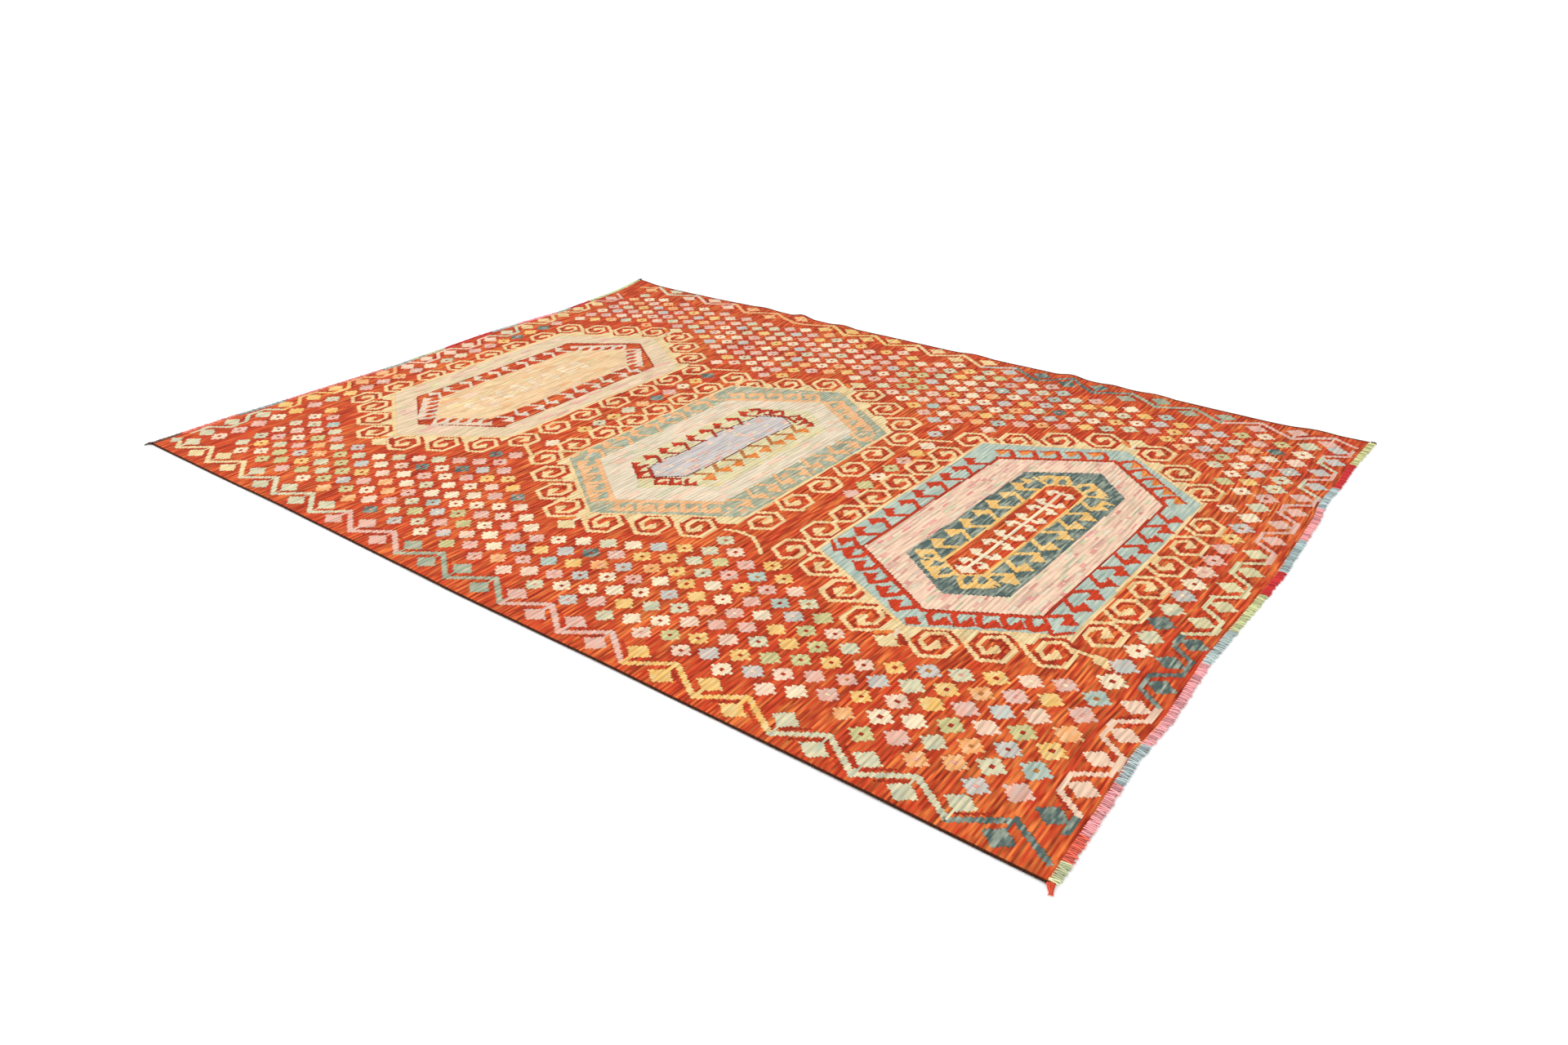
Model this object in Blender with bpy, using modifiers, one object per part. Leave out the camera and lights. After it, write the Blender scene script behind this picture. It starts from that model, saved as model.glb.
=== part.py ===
"""Flat-woven wool kilim, about 3.47 m by 2.50 m, lying on the floor.

Metres, +Z up. The origin is on the floor under the middle of the rug, +X runs along its length and +Y
across its width. The cloth lies at Z = 0, but for the crease along its middle and some low ripples.

The rug is one slit-tapestry cloth. Dark wool is overcast along its two long sides, its two short ends
are closed by short coloured wraps, and the wrapping yarn hangs loose in a small tuft at each corner.
"""
import math
from typing import NamedTuple

import bmesh
import bpy
import numpy as np
from mathutils import Vector

# ---------------------------------------------------------------- driving dimensions, metres
LENGTH = 3.467             # corner to corner along X, wraps included
WIDTH = 2.500              # corner to corner along Y, selvedges included
CLOTH_THICKNESS = 0.0028
SEAM_GAP = 0.0004          # between the cloth and what is sewn round it

SELVEDGE_WIDTH = 0.0080
SELVEDGE_HEIGHT = 0.0046
SELVEDGE_SIDES = 8

WRAPS = 128                # locks along each short end
WRAP_LENGTH = 0.018        # from the cloth to the tips
WRAP_BACKING = 0.005       # the strip that the locks grow from
WRAP_HEIGHT = 0.0042
WRAP_TIP_HEIGHT = 0.0030
WRAP_SHARE = 0.70          # width of a lock's root, as a share of its pitch
WRAP_TIP_SHARE = 0.50
WRAP_UNEVENNESS = 0.0018   # how much the locks differ in length

TUFT_HEAD_RADIUS = 0.0038
TUFT_HEAD_SIDES = 16
TUFT_STRANDS = 5
TUFT_TIP_SCALE = 0.6
TUFT_TIP_HEIGHT = 0.0018

CREASE_RISE = 0.0022       # fold crease along the middle of the width
CREASE_HALF_WIDTH = 0.045

COLUMNS = 120              # cells of the cloth along X
ROWS_AT_WRAP = (0, 10, 22, 34, 46, 56, 61, 64, 67, 72, 82, 92, 102, 112, 120, 128)


class EdgePoint(NamedTuple):
    """A place on one edge of the rug."""

    share: float           # along the edge, 0 at its -X or -Y end and 1 at the other
    out: float             # how far the finished edge stands outside its straight line, metres


NEAR_SIDE = (
    EdgePoint(0.00, 0.010), EdgePoint(0.12, 0.009), EdgePoint(0.23, 0.005), EdgePoint(0.35, 0.007),
    EdgePoint(0.49, 0.011), EdgePoint(0.65, 0.005), EdgePoint(0.84, 0.005), EdgePoint(1.00, 0.008),
)
FAR_SIDE = (
    EdgePoint(0.00, -0.008), EdgePoint(0.04, -0.034), EdgePoint(0.09, -0.040), EdgePoint(0.15, -0.034),
    EdgePoint(0.24, -0.016), EdgePoint(0.33, -0.028), EdgePoint(0.49, -0.022), EdgePoint(0.52, -0.026),
    EdgePoint(0.56, -0.016), EdgePoint(0.66, -0.014), EdgePoint(0.82, -0.010), EdgePoint(0.90, -0.019),
    EdgePoint(0.95, -0.008), EdgePoint(1.00, 0.002),
)
LEFT_END = (
    EdgePoint(0.00, 0.000), EdgePoint(0.12, -0.005), EdgePoint(0.20, -0.020), EdgePoint(0.30, -0.030),
    EdgePoint(0.40, -0.045), EdgePoint(0.52, -0.032), EdgePoint(0.60, -0.030), EdgePoint(0.68, -0.044),
    EdgePoint(0.76, -0.066), EdgePoint(0.84, -0.056), EdgePoint(0.90, -0.050), EdgePoint(0.96, -0.028),
    EdgePoint(1.00, 0.000),
)
RIGHT_END = (
    EdgePoint(0.00, 0.015), EdgePoint(0.12, 0.008), EdgePoint(0.18, 0.000), EdgePoint(0.24, 0.012),
    EdgePoint(0.36, 0.004), EdgePoint(0.42, 0.012), EdgePoint(0.56, 0.027), EdgePoint(0.72, 0.020),
    EdgePoint(0.78, 0.005), EdgePoint(0.84, 0.014), EdgePoint(0.90, 0.010), EdgePoint(1.00, 0.022),
)
EDGE_SMOOTHING = 0.012     # share of an edge over which a change of its course is rounded


class Ripple(NamedTuple):
    """A low wave of the cloth that runs in from the far long side."""

    along: float           # share of the length
    rise: float            # height at the edge, metres
    half_width: float      # metres along X
    reach: float           # how far it runs in, metres


RIPPLES = (
    Ripple(0.235, 0.0040, 0.090, 0.16),
    Ripple(0.300, 0.0120, 0.075, 0.22),
    Ripple(0.367, 0.0070, 0.085, 0.18),
    Ripple(0.558, 0.0045, 0.090, 0.14),
    Ripple(0.683, 0.0090, 0.075, 0.20),
    Ripple(0.733, 0.0040, 0.070, 0.12),
    Ripple(0.783, 0.0050, 0.090, 0.15),
    Ripple(0.950, 0.0050, 0.100, 0.16),
)


class Tuft(NamedTuple):
    """The loose ends of the wrapping yarn at one corner."""

    name: str
    end: int               # -1 at the left end, 1 at the right one
    side: int              # -1 on the near side, 1 on the far one
    length: float          # metres, of its longest strand
    aim: float             # degrees, the way it points, counted from +X towards +Y


TUFTS = (
    Tuft("tuft_near_right", 1, -1, 0.027, -50.0),
    Tuft("tuft_near_left", -1, -1, 0.032, -155.0),
    Tuft("tuft_far_right", 1, 1, 0.018, 45.0),
    Tuft("tuft_far_left", -1, 1, 0.026, 135.0),
)
TUFT_SHORTEST = 0.70       # shortest strand, as a share of the longest

# colours are linear RGB
WEAVE_COLOR = (0.56, 0.10, 0.045)
SELVEDGE_COLOR = (0.045, 0.016, 0.010)
WRAP_COLOR = (0.78, 0.32, 0.30)
TUFT_COLOR = (0.05, 0.022, 0.015)
ORANGE_TUFT_COLOR = (0.62, 0.10, 0.05)
WOOL_ROUGHNESS = 0.9


# ---------------------------------------------------------------------------------- outlines
def stand_out(points, share):
    """How far an edge stands out at a share of its length, with its changes of course rounded."""
    shares = [point.share for point in points]
    outs = [point.out for point in points]
    nearby = (share - EDGE_SMOOTHING, share, share + EDGE_SMOOTHING)
    return float(np.mean(np.interp(nearby, shares, outs)))


def cloth_corner(u, v):
    """The place in plan of a point of the cloth, u along its length and v across its width, 0 to 1."""
    side_finish = SELVEDGE_WIDTH + SEAM_GAP
    end_finish = WRAP_LENGTH + SEAM_GAP
    left = -LENGTH / 2 - stand_out(LEFT_END, v) + end_finish
    right = LENGTH / 2 + stand_out(RIGHT_END, v) - end_finish
    near = -WIDTH / 2 - stand_out(NEAR_SIDE, u) + side_finish
    far = WIDTH / 2 + stand_out(FAR_SIDE, u) - side_finish
    return left + u * (right - left), near + v * (far - near)


def swell(distance, half_width):
    """A smooth hump, 1 in its middle and 0 from half_width on."""
    if abs(distance) >= half_width:
        return 0.0
    return 0.5 + 0.5 * math.cos(math.pi * distance / half_width)


def lift(u, v):
    """Height of the cloth's underside above the floor, by its share of the length and the width."""
    height = CREASE_RISE * swell((v - 0.5) * WIDTH, CREASE_HALF_WIDTH) * swell(u - 0.5, 0.5)
    for ripple in RIPPLES:
        across = swell((u - ripple.along) * LENGTH, ripple.half_width)
        inwards = swell((1.0 - v) * WIDTH, ripple.reach)
        height += ripple.rise * across * inwards
    return height


# --------------------------------------------------------------------------- Blender helpers
def clear_scene():
    """Removes whatever the scene holds."""
    for obj in list(bpy.data.objects):
        bpy.data.objects.remove(obj, do_unlink=True)


def make_collection(name):
    """A new collection in the scene."""
    collection = bpy.data.collections.new(name)
    bpy.context.scene.collection.children.link(collection)
    return collection


def wool(name, color):
    """Matt dyed wool."""
    material = bpy.data.materials.new(name)
    material.use_nodes = True
    shader = material.node_tree.nodes["Principled BSDF"]
    shader.inputs["Base Color"].default_value = (*color, 1.0)
    shader.inputs["Roughness"].default_value = WOOL_ROUGHNESS
    shader.inputs["Metallic"].default_value = 0.0
    return material


def add_object(name, data, material, collection):
    """Puts a mesh or curve in the collection as a named object with one material."""
    obj = bpy.data.objects.new(name, data)
    data.materials.append(material)
    collection.objects.link(obj)
    return obj


def mesh_from(bm, name):
    """Turns a bmesh into a mesh whose faces point out."""
    bmesh.ops.recalc_face_normals(bm, faces=bm.faces)
    mesh = bpy.data.meshes.new(name)
    bm.to_mesh(mesh)
    bm.free()
    return mesh


# ------------------------------------------------------------------------------------ pieces
def make_cloth(collection):
    """The woven ground: a grid laid to the outline, raised at its folds and given its thickness."""
    row_shares = [wrap / WRAPS for wrap in ROWS_AT_WRAP]
    rows = len(row_shares) - 1
    bm = bmesh.new()
    bmesh.ops.create_grid(bm, x_segments=COLUMNS, y_segments=rows, size=0.5)
    for vert in bm.verts:
        u = vert.co.x + 0.5
        v = row_shares[round((vert.co.y + 0.5) * rows)]
        vert.co = Vector((*cloth_corner(u, v), lift(u, v)))
    mesh = bpy.data.meshes.new("woven_ground")
    bm.to_mesh(mesh)
    bm.free()
    mesh.shade_smooth()
    cloth = add_object("woven_ground", mesh, wool("dyed_wool_weave", WEAVE_COLOR), collection)
    thickness = cloth.modifiers.new("thickness", "SOLIDIFY")
    thickness.thickness = CLOTH_THICKNESS
    thickness.offset = 1.0
    return cloth


def make_selvedge_profile(guides):
    """The rounded section of the overcast selvedge, as a closed curve."""
    curve = bpy.data.curves.new("selvedge_section", "CURVE")
    curve.dimensions = "2D"
    spline = curve.splines.new("POLY")
    spline.points.add(SELVEDGE_SIDES - 1)
    half_step = math.pi / SELVEDGE_SIDES
    for number, point in enumerate(spline.points):
        angle = -half_step * (2 * number + 1)
        across = SELVEDGE_WIDTH / 2 * math.cos(angle) / math.cos(half_step)
        up = SELVEDGE_HEIGHT / 2 * math.sin(angle) / math.cos(half_step)
        point.co = (across, up, 0.0, 1.0)
    spline.use_cyclic_u = True
    profile = bpy.data.objects.new("selvedge_section", curve)
    profile.hide_render = True
    profile.display_type = "WIRE"
    guides.objects.link(profile)
    return profile


def make_selvedge(name, v, profile, material, collection):
    """The overcast cord along one long side, v 0 for the near side and 1 for the far one."""
    outwards = -1 if v == 0 else 1
    curve = bpy.data.curves.new(name, "CURVE")
    curve.dimensions = "3D"
    curve.twist_mode = "Z_UP"
    curve.bevel_mode = "OBJECT"
    curve.bevel_object = profile
    curve.use_fill_caps = True
    spline = curve.splines.new("POLY")
    spline.points.add(COLUMNS)
    for number, point in enumerate(spline.points):
        u = number / COLUMNS
        x, y = cloth_corner(u, v)
        y += outwards * (SEAM_GAP + SELVEDGE_WIDTH / 2)
        point.co = (x, y, lift(u, v) + SELVEDGE_HEIGHT / 2, 1.0)
    return add_object(name, curve, material, collection)


def backing_stations():
    """Shares of the width at which the backing strip is cut into the roots of its locks and the gaps."""
    margin = (1.0 - WRAP_SHARE) / 2
    stations = [0.0]
    for wrap in range(WRAPS):
        stations += [(wrap + margin) / WRAPS, (wrap + 1 - margin) / WRAPS, (wrap + 1) / WRAPS]
    return stations


def along_the_rows(v, u):
    """The cloth's end at share v, on the straight run between the two rows of its mesh beside it."""
    row_shares = [wrap / WRAPS for wrap in ROWS_AT_WRAP]
    corners = [cloth_corner(u, share) for share in row_shares]
    x = float(np.interp(v, row_shares, [corner[0] for corner in corners]))
    y = float(np.interp(v, row_shares, [corner[1] for corner in corners]))
    return x, y


def lock_length(wrap):
    """Length of a lock outside the backing strip; the locks are a little uneven."""
    unevenness = math.sin(2.3 * wrap) * math.cos(0.71 * wrap + 1.0)
    return WRAP_LENGTH - WRAP_BACKING - WRAP_UNEVENNESS * (0.5 + 0.5 * unevenness)


def make_end_wraps(name, u, material, collection):
    """The wraps of one short end, u 0 for the left end and 1 for the right one."""
    outwards = -1 if u == 0 else 1
    stations = backing_stations()
    bm = bmesh.new()
    bmesh.ops.create_grid(bm, x_segments=1, y_segments=len(stations) - 1, size=0.5)
    for vert in bm.verts:
        v = stations[round((vert.co.y + 0.5) * (len(stations) - 1))]
        x, y = along_the_rows(v, u)
        outer = outwards * vert.co.x > 0
        vert.co.x = x + outwards * (SEAM_GAP + (WRAP_BACKING if outer else 0.0))
        vert.co.y = y
        vert.tag = outer
    strip = bmesh.ops.extrude_face_region(bm, geom=bm.faces[:], use_keep_orig=True)
    raised = [item for item in strip["geom"] if isinstance(item, bmesh.types.BMVert)]
    bmesh.ops.translate(bm, verts=raised, vec=(0.0, 0.0, WRAP_HEIGHT))
    bmesh.ops.recalc_face_normals(bm, faces=bm.faces)
    outer_faces = [face for face in bm.faces if outwards * face.normal.x > 0.5]
    outer_faces.sort(key=lambda face: face.calc_center_median().y)
    roots = [face for number, face in enumerate(outer_faces) if number % 3 == 1]
    locks = bmesh.ops.extrude_discrete_faces(bm, faces=roots)["faces"]
    locks.sort(key=lambda face: face.calc_center_median().y)
    for wrap, tip in enumerate(locks):
        middle = tip.calc_center_median()
        for vert in tip.verts:
            vert.co.x += outwards * lock_length(wrap)
            vert.co.y = middle.y + (vert.co.y - middle.y) * WRAP_TIP_SHARE / WRAP_SHARE
            vert.co.z = min(vert.co.z, WRAP_TIP_HEIGHT)
    return add_object(name, mesh_from(bm, name), material, collection)


def make_tuft(tuft, material, collection):
    """One corner tuft: a round head at the selvedge's end, with strands that lie on the floor."""
    u, v = (tuft.end + 1) / 2, (tuft.side + 1) / 2
    x, y = cloth_corner(u, v)
    bm = bmesh.new()
    bmesh.ops.create_cone(bm, cap_ends=True, segments=TUFT_HEAD_SIDES, radius1=TUFT_HEAD_RADIUS,
                          radius2=TUFT_HEAD_RADIUS, depth=SELVEDGE_HEIGHT)
    bmesh.ops.translate(bm, verts=bm.verts, vec=(0.0, 0.0, SELVEDGE_HEIGHT / 2))
    sides = [face for face in bm.faces if abs(face.normal.z) < 0.5]
    sides.sort(key=lambda face: -face.normal.x)
    strands = bmesh.ops.extrude_discrete_faces(bm, faces=sides[:TUFT_STRANDS])["faces"]
    for number, tip in enumerate(strands):
        direction = tip.normal.copy()
        middle = tip.calc_center_median()
        shortening = (1.0 - TUFT_SHORTEST) * number / (TUFT_STRANDS - 1)
        for vert in tip.verts:
            across = (vert.co - middle) * TUFT_TIP_SCALE
            top = vert.co.z > SELVEDGE_HEIGHT / 2
            vert.co = middle + across + direction * tuft.length * (1.0 - shortening)
            vert.co.z = TUFT_TIP_HEIGHT if top else 0.0
    obj = add_object(tuft.name, mesh_from(bm, tuft.name), material, collection)
    obj.location = (x + tuft.end * (SEAM_GAP + TUFT_HEAD_RADIUS),
                    y + tuft.side * (SEAM_GAP + SELVEDGE_WIDTH / 2), 0.0)
    obj.rotation_euler = (0.0, 0.0, math.radians(tuft.aim))
    return obj


def main():
    """Builds the rug."""
    clear_scene()
    rug = make_collection("kilim_rug")
    guides = make_collection("guides")
    make_cloth(rug)
    profile = make_selvedge_profile(guides)
    dark_wool = wool("dark_overcast_wool", SELVEDGE_COLOR)
    make_selvedge("selvedge_near", 0, profile, dark_wool, rug)
    make_selvedge("selvedge_far", 1, profile, dark_wool.copy(), rug)
    make_end_wraps("end_wraps_left", 0, wool("coloured_wraps_left", WRAP_COLOR), rug)
    make_end_wraps("end_wraps_right", 1, wool("coloured_wraps_right", WRAP_COLOR), rug)
    for tuft in TUFTS:
        color = ORANGE_TUFT_COLOR if tuft.name == "tuft_near_right" else TUFT_COLOR
        make_tuft(tuft, wool(tuft.name + "_wool", color), rug)


main()
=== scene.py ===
"""A flat-woven wool rug with hooked medallions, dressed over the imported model.

Lengths are metres in the frame of the model. The weaving chart alone counts in millimetres, as a weaver's
plan does: x from the far-left short end, y from the near long side.
"""

import logging
import math
from dataclasses import dataclass, field
from enum import Enum, IntEnum
from typing import Any

import bpy
import numpy as np
from mathutils import Matrix, Vector


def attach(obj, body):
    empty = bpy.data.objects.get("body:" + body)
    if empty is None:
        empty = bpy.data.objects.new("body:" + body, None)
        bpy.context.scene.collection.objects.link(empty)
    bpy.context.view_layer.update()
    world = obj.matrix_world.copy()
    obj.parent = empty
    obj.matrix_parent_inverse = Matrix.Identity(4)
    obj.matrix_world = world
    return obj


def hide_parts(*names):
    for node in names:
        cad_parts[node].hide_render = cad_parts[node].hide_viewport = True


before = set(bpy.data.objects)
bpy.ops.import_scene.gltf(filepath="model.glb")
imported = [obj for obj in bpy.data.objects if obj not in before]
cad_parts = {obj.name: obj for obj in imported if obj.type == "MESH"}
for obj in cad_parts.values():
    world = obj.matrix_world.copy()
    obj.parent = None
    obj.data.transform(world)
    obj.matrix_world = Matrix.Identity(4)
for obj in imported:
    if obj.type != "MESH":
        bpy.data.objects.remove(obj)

Point = tuple[float, float]
Points = list[Point]
Outline = tuple[Point, ...]
Window = tuple[slice, slice]
Node = bpy.types.Node
Tree = bpy.types.NodeTree
log = logging.getLogger("kilim")


# ---------------------------------------------------------------- shared helpers


def dye(code: str) -> tuple[float, float, float, float]:
    """Turns an sRGB hex colour to the linear one that the shaders take.

    Args:
        code: six hex digits.

    Returns:
        Linear red, green, blue and an alpha of 1.
    """
    parts = (int(code[k:k + 2], 16) / 255 for k in (0, 2, 4))
    red, green, blue = (p / 12.92 if p <= 0.04045 else ((p + 0.055) / 1.055) ** 2.4 for p in parts)
    return red, green, blue, 1.0


def first_output(thing: Any) -> Any:
    """Gives the first live output of a node or a Value, and anything else as it is."""
    source = thing.source if isinstance(thing, Value) else thing
    return next(s for s in source.outputs if s.enabled) if isinstance(source, Node) else source


def add(tree: Tree, kind: str, inputs: dict[int | str, Any] | None = None, **settings: Any) -> Node:
    """Adds a node with its settings and links.

    Args:
        tree: the tree that the node goes in.
        kind: the node's Blender type.
        inputs: for each socket, by place or name, a node, socket or Value to link, or a constant to set.
        settings: the node's own properties.

    Returns:
        The new node.
    """
    made = tree.nodes.new(kind)
    for name, value in settings.items():
        setattr(made, name, value)
    for key, value in (inputs or {}).items():
        value = first_output(value)
        if isinstance(value, bpy.types.NodeSocket):
            tree.links.new(value, made.inputs[key])
        else:
            made.inputs[key].default_value = value
    return made


@dataclass(frozen=True)
class Value:
    """A number that nodes work out, so that their formula reads as one. Each operator adds its Math node."""

    tree: Tree
    source: Any

    def math(self, operation: str, *others: Any) -> "Value":
        """Adds one Math node on this value and the others."""
        return Value(self.tree, add(self.tree, "ShaderNodeMath", dict(enumerate((self, *others))),
                                    operation=operation))

    def __add__(self, other: Any) -> "Value":
        return self.math("ADD", other)

    def __sub__(self, other: Any) -> "Value":
        return self.math("SUBTRACT", other)

    def __mul__(self, other: Any) -> "Value":
        return self.math("MULTIPLY", other)

    def __truediv__(self, other: Any) -> "Value":
        return self.math("DIVIDE", other)

    def __mod__(self, other: Any) -> "Value":
        return self.math("MODULO", other)

    def floor(self) -> "Value":
        """The whole number below."""
        return self.math("FLOOR")

    def humps(self) -> "Value":
        """A row of round humps of height 1, one to each unit of this value."""
        return (self * math.pi).math("SINE").math("ABSOLUTE")

    def power_of(self, base: float) -> "Value":
        """The base raised to this value, as a whole number."""
        raised = add(self.tree, "ShaderNodeMath", {0: base, 1: self}, operation="POWER")
        return Value(self.tree, raised).math("ROUND")

    def mixed(self, share: Any, other: Any) -> "Value":
        """This value with a share of the other."""
        mix = add(self.tree, "ShaderNodeMix", {0: share, 2: self, 3: other}, data_type="FLOAT")
        return Value(self.tree, mix)

    def spread(self, low: float, high: float, to_low: float = 0.0, to_high: float = 1.0) -> "Value":
        """Maps the stretch from low to high onto another one, and holds the ends."""
        return Value(self.tree, add(self.tree, "ShaderNodeMapRange", {
            "Value": self, "From Min": low, "From Max": high, "To Min": to_low, "To Max": to_high}))


def attribute(tree: Tree, name: str) -> Value:
    """Reads a named attribute of the mesh."""
    return Value(tree, add(tree, "ShaderNodeAttribute", attribute_name=name).outputs["Fac"])


def noise(tree: Tree, at: Any, scale: float, detail: float, roughness: float) -> Value:
    """Adds smooth noise, read at a place: its features are one unit wide at scale 1."""
    return Value(tree, add(tree, "ShaderNodeTexNoise", {
        "Vector": at, "Scale": scale, "Detail": detail, "Roughness": roughness}))


def blended(tree: Tree, share: Any, one: Any, other: Any, blend_type: str = "MIX") -> Node:
    """Mixes a share of the other colour into one."""
    return add(tree, "ShaderNodeMix", {0: share, 6: one, 7: other}, data_type="RGBA", blend_type=blend_type)


def shaded(tree: Tree, colour: Node, tone: Value) -> Node:
    """Makes a colour darker where the tone is under 1, and lighter where it is over 1."""
    grey = add(tree, "ShaderNodeCombineXYZ", {0: tone, 1: tone, 2: tone})
    return blended(tree, 1.0, colour, grey, "MULTIPLY")


def banded(tree: Tree, at: Value, stops: list[tuple[float, str]]) -> Node:
    """Looks a colour up, where each holds from its own place to the next one's.

    Args:
        tree: the material's tree.
        at: where to read, 0 to 1.
        stops: each colour's place and its sRGB hex code, in order from place 0.

    Returns:
        The colour ramp.
    """
    made = add(tree, "ShaderNodeValToRGB", {0: at})
    ramp = made.color_ramp
    ramp.interpolation = "CONSTANT"
    while len(ramp.elements) < len(stops):
        ramp.elements.new(0.999)
    while len(ramp.elements) > len(stops):
        ramp.elements.remove(ramp.elements[-1])
    for element, (place, _) in zip(ramp.elements, stops):
        element.position = place
    for element, (_, code) in zip(ramp.elements, stops):
        element.color = dye(code)
    return made


def principled(name: str, levels: dict[str, Any]) -> bpy.types.Material:
    """Makes a material whose Principled shader has the given levels."""
    made = bpy.data.materials.new(name)
    made.use_nodes = True
    for title, level in levels.items():
        made.node_tree.nodes["Principled BSDF"].inputs[title].default_value = level
    return made


def cover(made: bpy.types.Material, colour: Node, relief: Value, strength: float, depth: float) -> None:
    """Gives a material its colour and a bump of the given strength and depth."""
    tree = made.node_tree
    shader = tree.nodes["Principled BSDF"]
    bump = add(tree, "ShaderNodeBump", {"Strength": strength, "Distance": depth, "Height": relief})
    tree.links.new(first_output(colour), shader.inputs["Base Color"])
    tree.links.new(bump.outputs["Normal"], shader.inputs["Normal"])


# ---------------------------------------------------------------- the rug's form


@dataclass(frozen=True)
class RugForm:
    """The rug's outline and the way it lies on the floor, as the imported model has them."""

    length: float = 3.467
    width: float = 2.500
    cloth_thickness: float = 0.0028
    seam_gap: float = 0.0004
    selvedge_width: float = 0.0080
    selvedge_height: float = 0.0046
    wrap_length: float = 0.018
    wrap_height: float = 0.0042
    edge_smoothing: float = 0.012
    crease_rise: float = 0.0022
    crease_half_width: float = 0.045
    # for each edge its share of the side and how far it stands out from the straight
    near_side: Outline = (
        (0, .010), (.12, .009), (.23, .005), (.35, .007), (.49, .011), (.65, .005), (.84, .005), (1, .008))
    far_side: Outline = (
        (0, -.008), (.04, -.034), (.09, -.040), (.15, -.034), (.24, -.016), (.33, -.028), (.49, -.022),
        (.52, -.026), (.56, -.016), (.66, -.014), (.82, -.010), (.90, -.019), (.95, -.008), (1, .002))
    left_end: Outline = (
        (0, 0), (.12, -.005), (.20, -.020), (.30, -.030), (.40, -.045), (.52, -.032), (.60, -.030),
        (.68, -.044), (.76, -.066), (.84, -.056), (.90, -.050), (.96, -.028), (1, 0))
    right_end: Outline = (
        (0, .015), (.12, .008), (.18, 0), (.24, .012), (.36, .004), (.42, .012), (.56, .027),
        (.72, .020), (.78, .005), (.84, .014), (.90, .010), (1, .022))
    # share of the length, rise, half width along the rug, reach in from the far long side
    ripples: tuple[tuple[float, float, float, float], ...] = (
        (.235, .0040, .090, .16), (.300, .0120, .075, .22), (.367, .0070, .085, .18),
        (.558, .0045, .090, .14), (.683, .0090, .075, .20), (.733, .0040, .070, .12),
        (.783, .0050, .090, .15), (.950, .0050, .100, .16))
    # rise, waves over the length, waves over the width and phase of the cloth's slight unevenness
    slack: tuple[tuple[float, float, float, float], ...] = (
        (.00035, 5.0, 1.5, 0.4), (.00030, 9.0, -3.0, 2.1), (.00022, 3.0, 6.5, 4.0), (.00018, 16.0, 5.0, 1.2))

    def stand_out(self, points: Outline, share: np.ndarray) -> np.ndarray:
        """How far an edge stands out from the straight, smoothed over a short stretch.

        Args:
            points: the edge's share of the side and its distance out.
            share: where to read it, 0 to 1.

        Returns:
            Metres outwards.
        """
        shares, outs = zip(*points)
        steps = (-self.edge_smoothing, 0.0, self.edge_smoothing)
        return sum(np.interp(np.clip(share + step, 0, 1), shares, outs) for step in steps) / 3

    def cloth_at(self, u: np.ndarray, v: np.ndarray) -> tuple[np.ndarray, np.ndarray]:
        """Places a share of the length and width on the cloth.

        Args:
            u: share of the length from the far-left end.
            v: share of the width from the near long side.

        Returns:
            x and y in metres.
        """
        left = -self.length / 2 - self.stand_out(self.left_end, v) + self.wrap_length + self.seam_gap
        right = self.length / 2 + self.stand_out(self.right_end, v) - self.wrap_length - self.seam_gap
        near = -self.width / 2 - self.stand_out(self.near_side, u) + self.selvedge_width + self.seam_gap
        far = self.width / 2 + self.stand_out(self.far_side, u) - self.selvedge_width - self.seam_gap
        return left + u * (right - left), near + v * (far - near)

    def swell(self, distance: np.ndarray, half_width: float) -> np.ndarray:
        """A smooth hump of height 1 over its half width on both sides."""
        hump = 0.5 + 0.5 * np.cos(math.pi * distance / half_width)
        return np.where(np.abs(distance) < half_width, hump, 0.0)

    def lying(self, u: np.ndarray, v: np.ndarray) -> np.ndarray:
        """The height of the cloth's underside: fold crease, ripples and a laid cloth's slight unevenness.

        Args:
            u: share of the length.
            v: share of the width.

        Returns:
            Metres over the floor.
        """
        crease = self.swell((v - 0.5) * self.width, self.crease_half_width) * self.swell(u - 0.5, 0.5)
        height = self.crease_rise * crease
        for along, rise, half_width, reach in self.ripples:
            across = self.swell((1 - v) * self.width, reach)
            height = height + rise * self.swell((u - along) * self.length, half_width) * across
        for rise, over_length, over_width, phase in self.slack:
            height = height + rise * (1 + np.sin(2 * math.pi * (over_length * u + over_width * v) + phase))
        return height


FORM = RugForm()


# ---------------------------------------------------------------- the weaving chart


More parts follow.
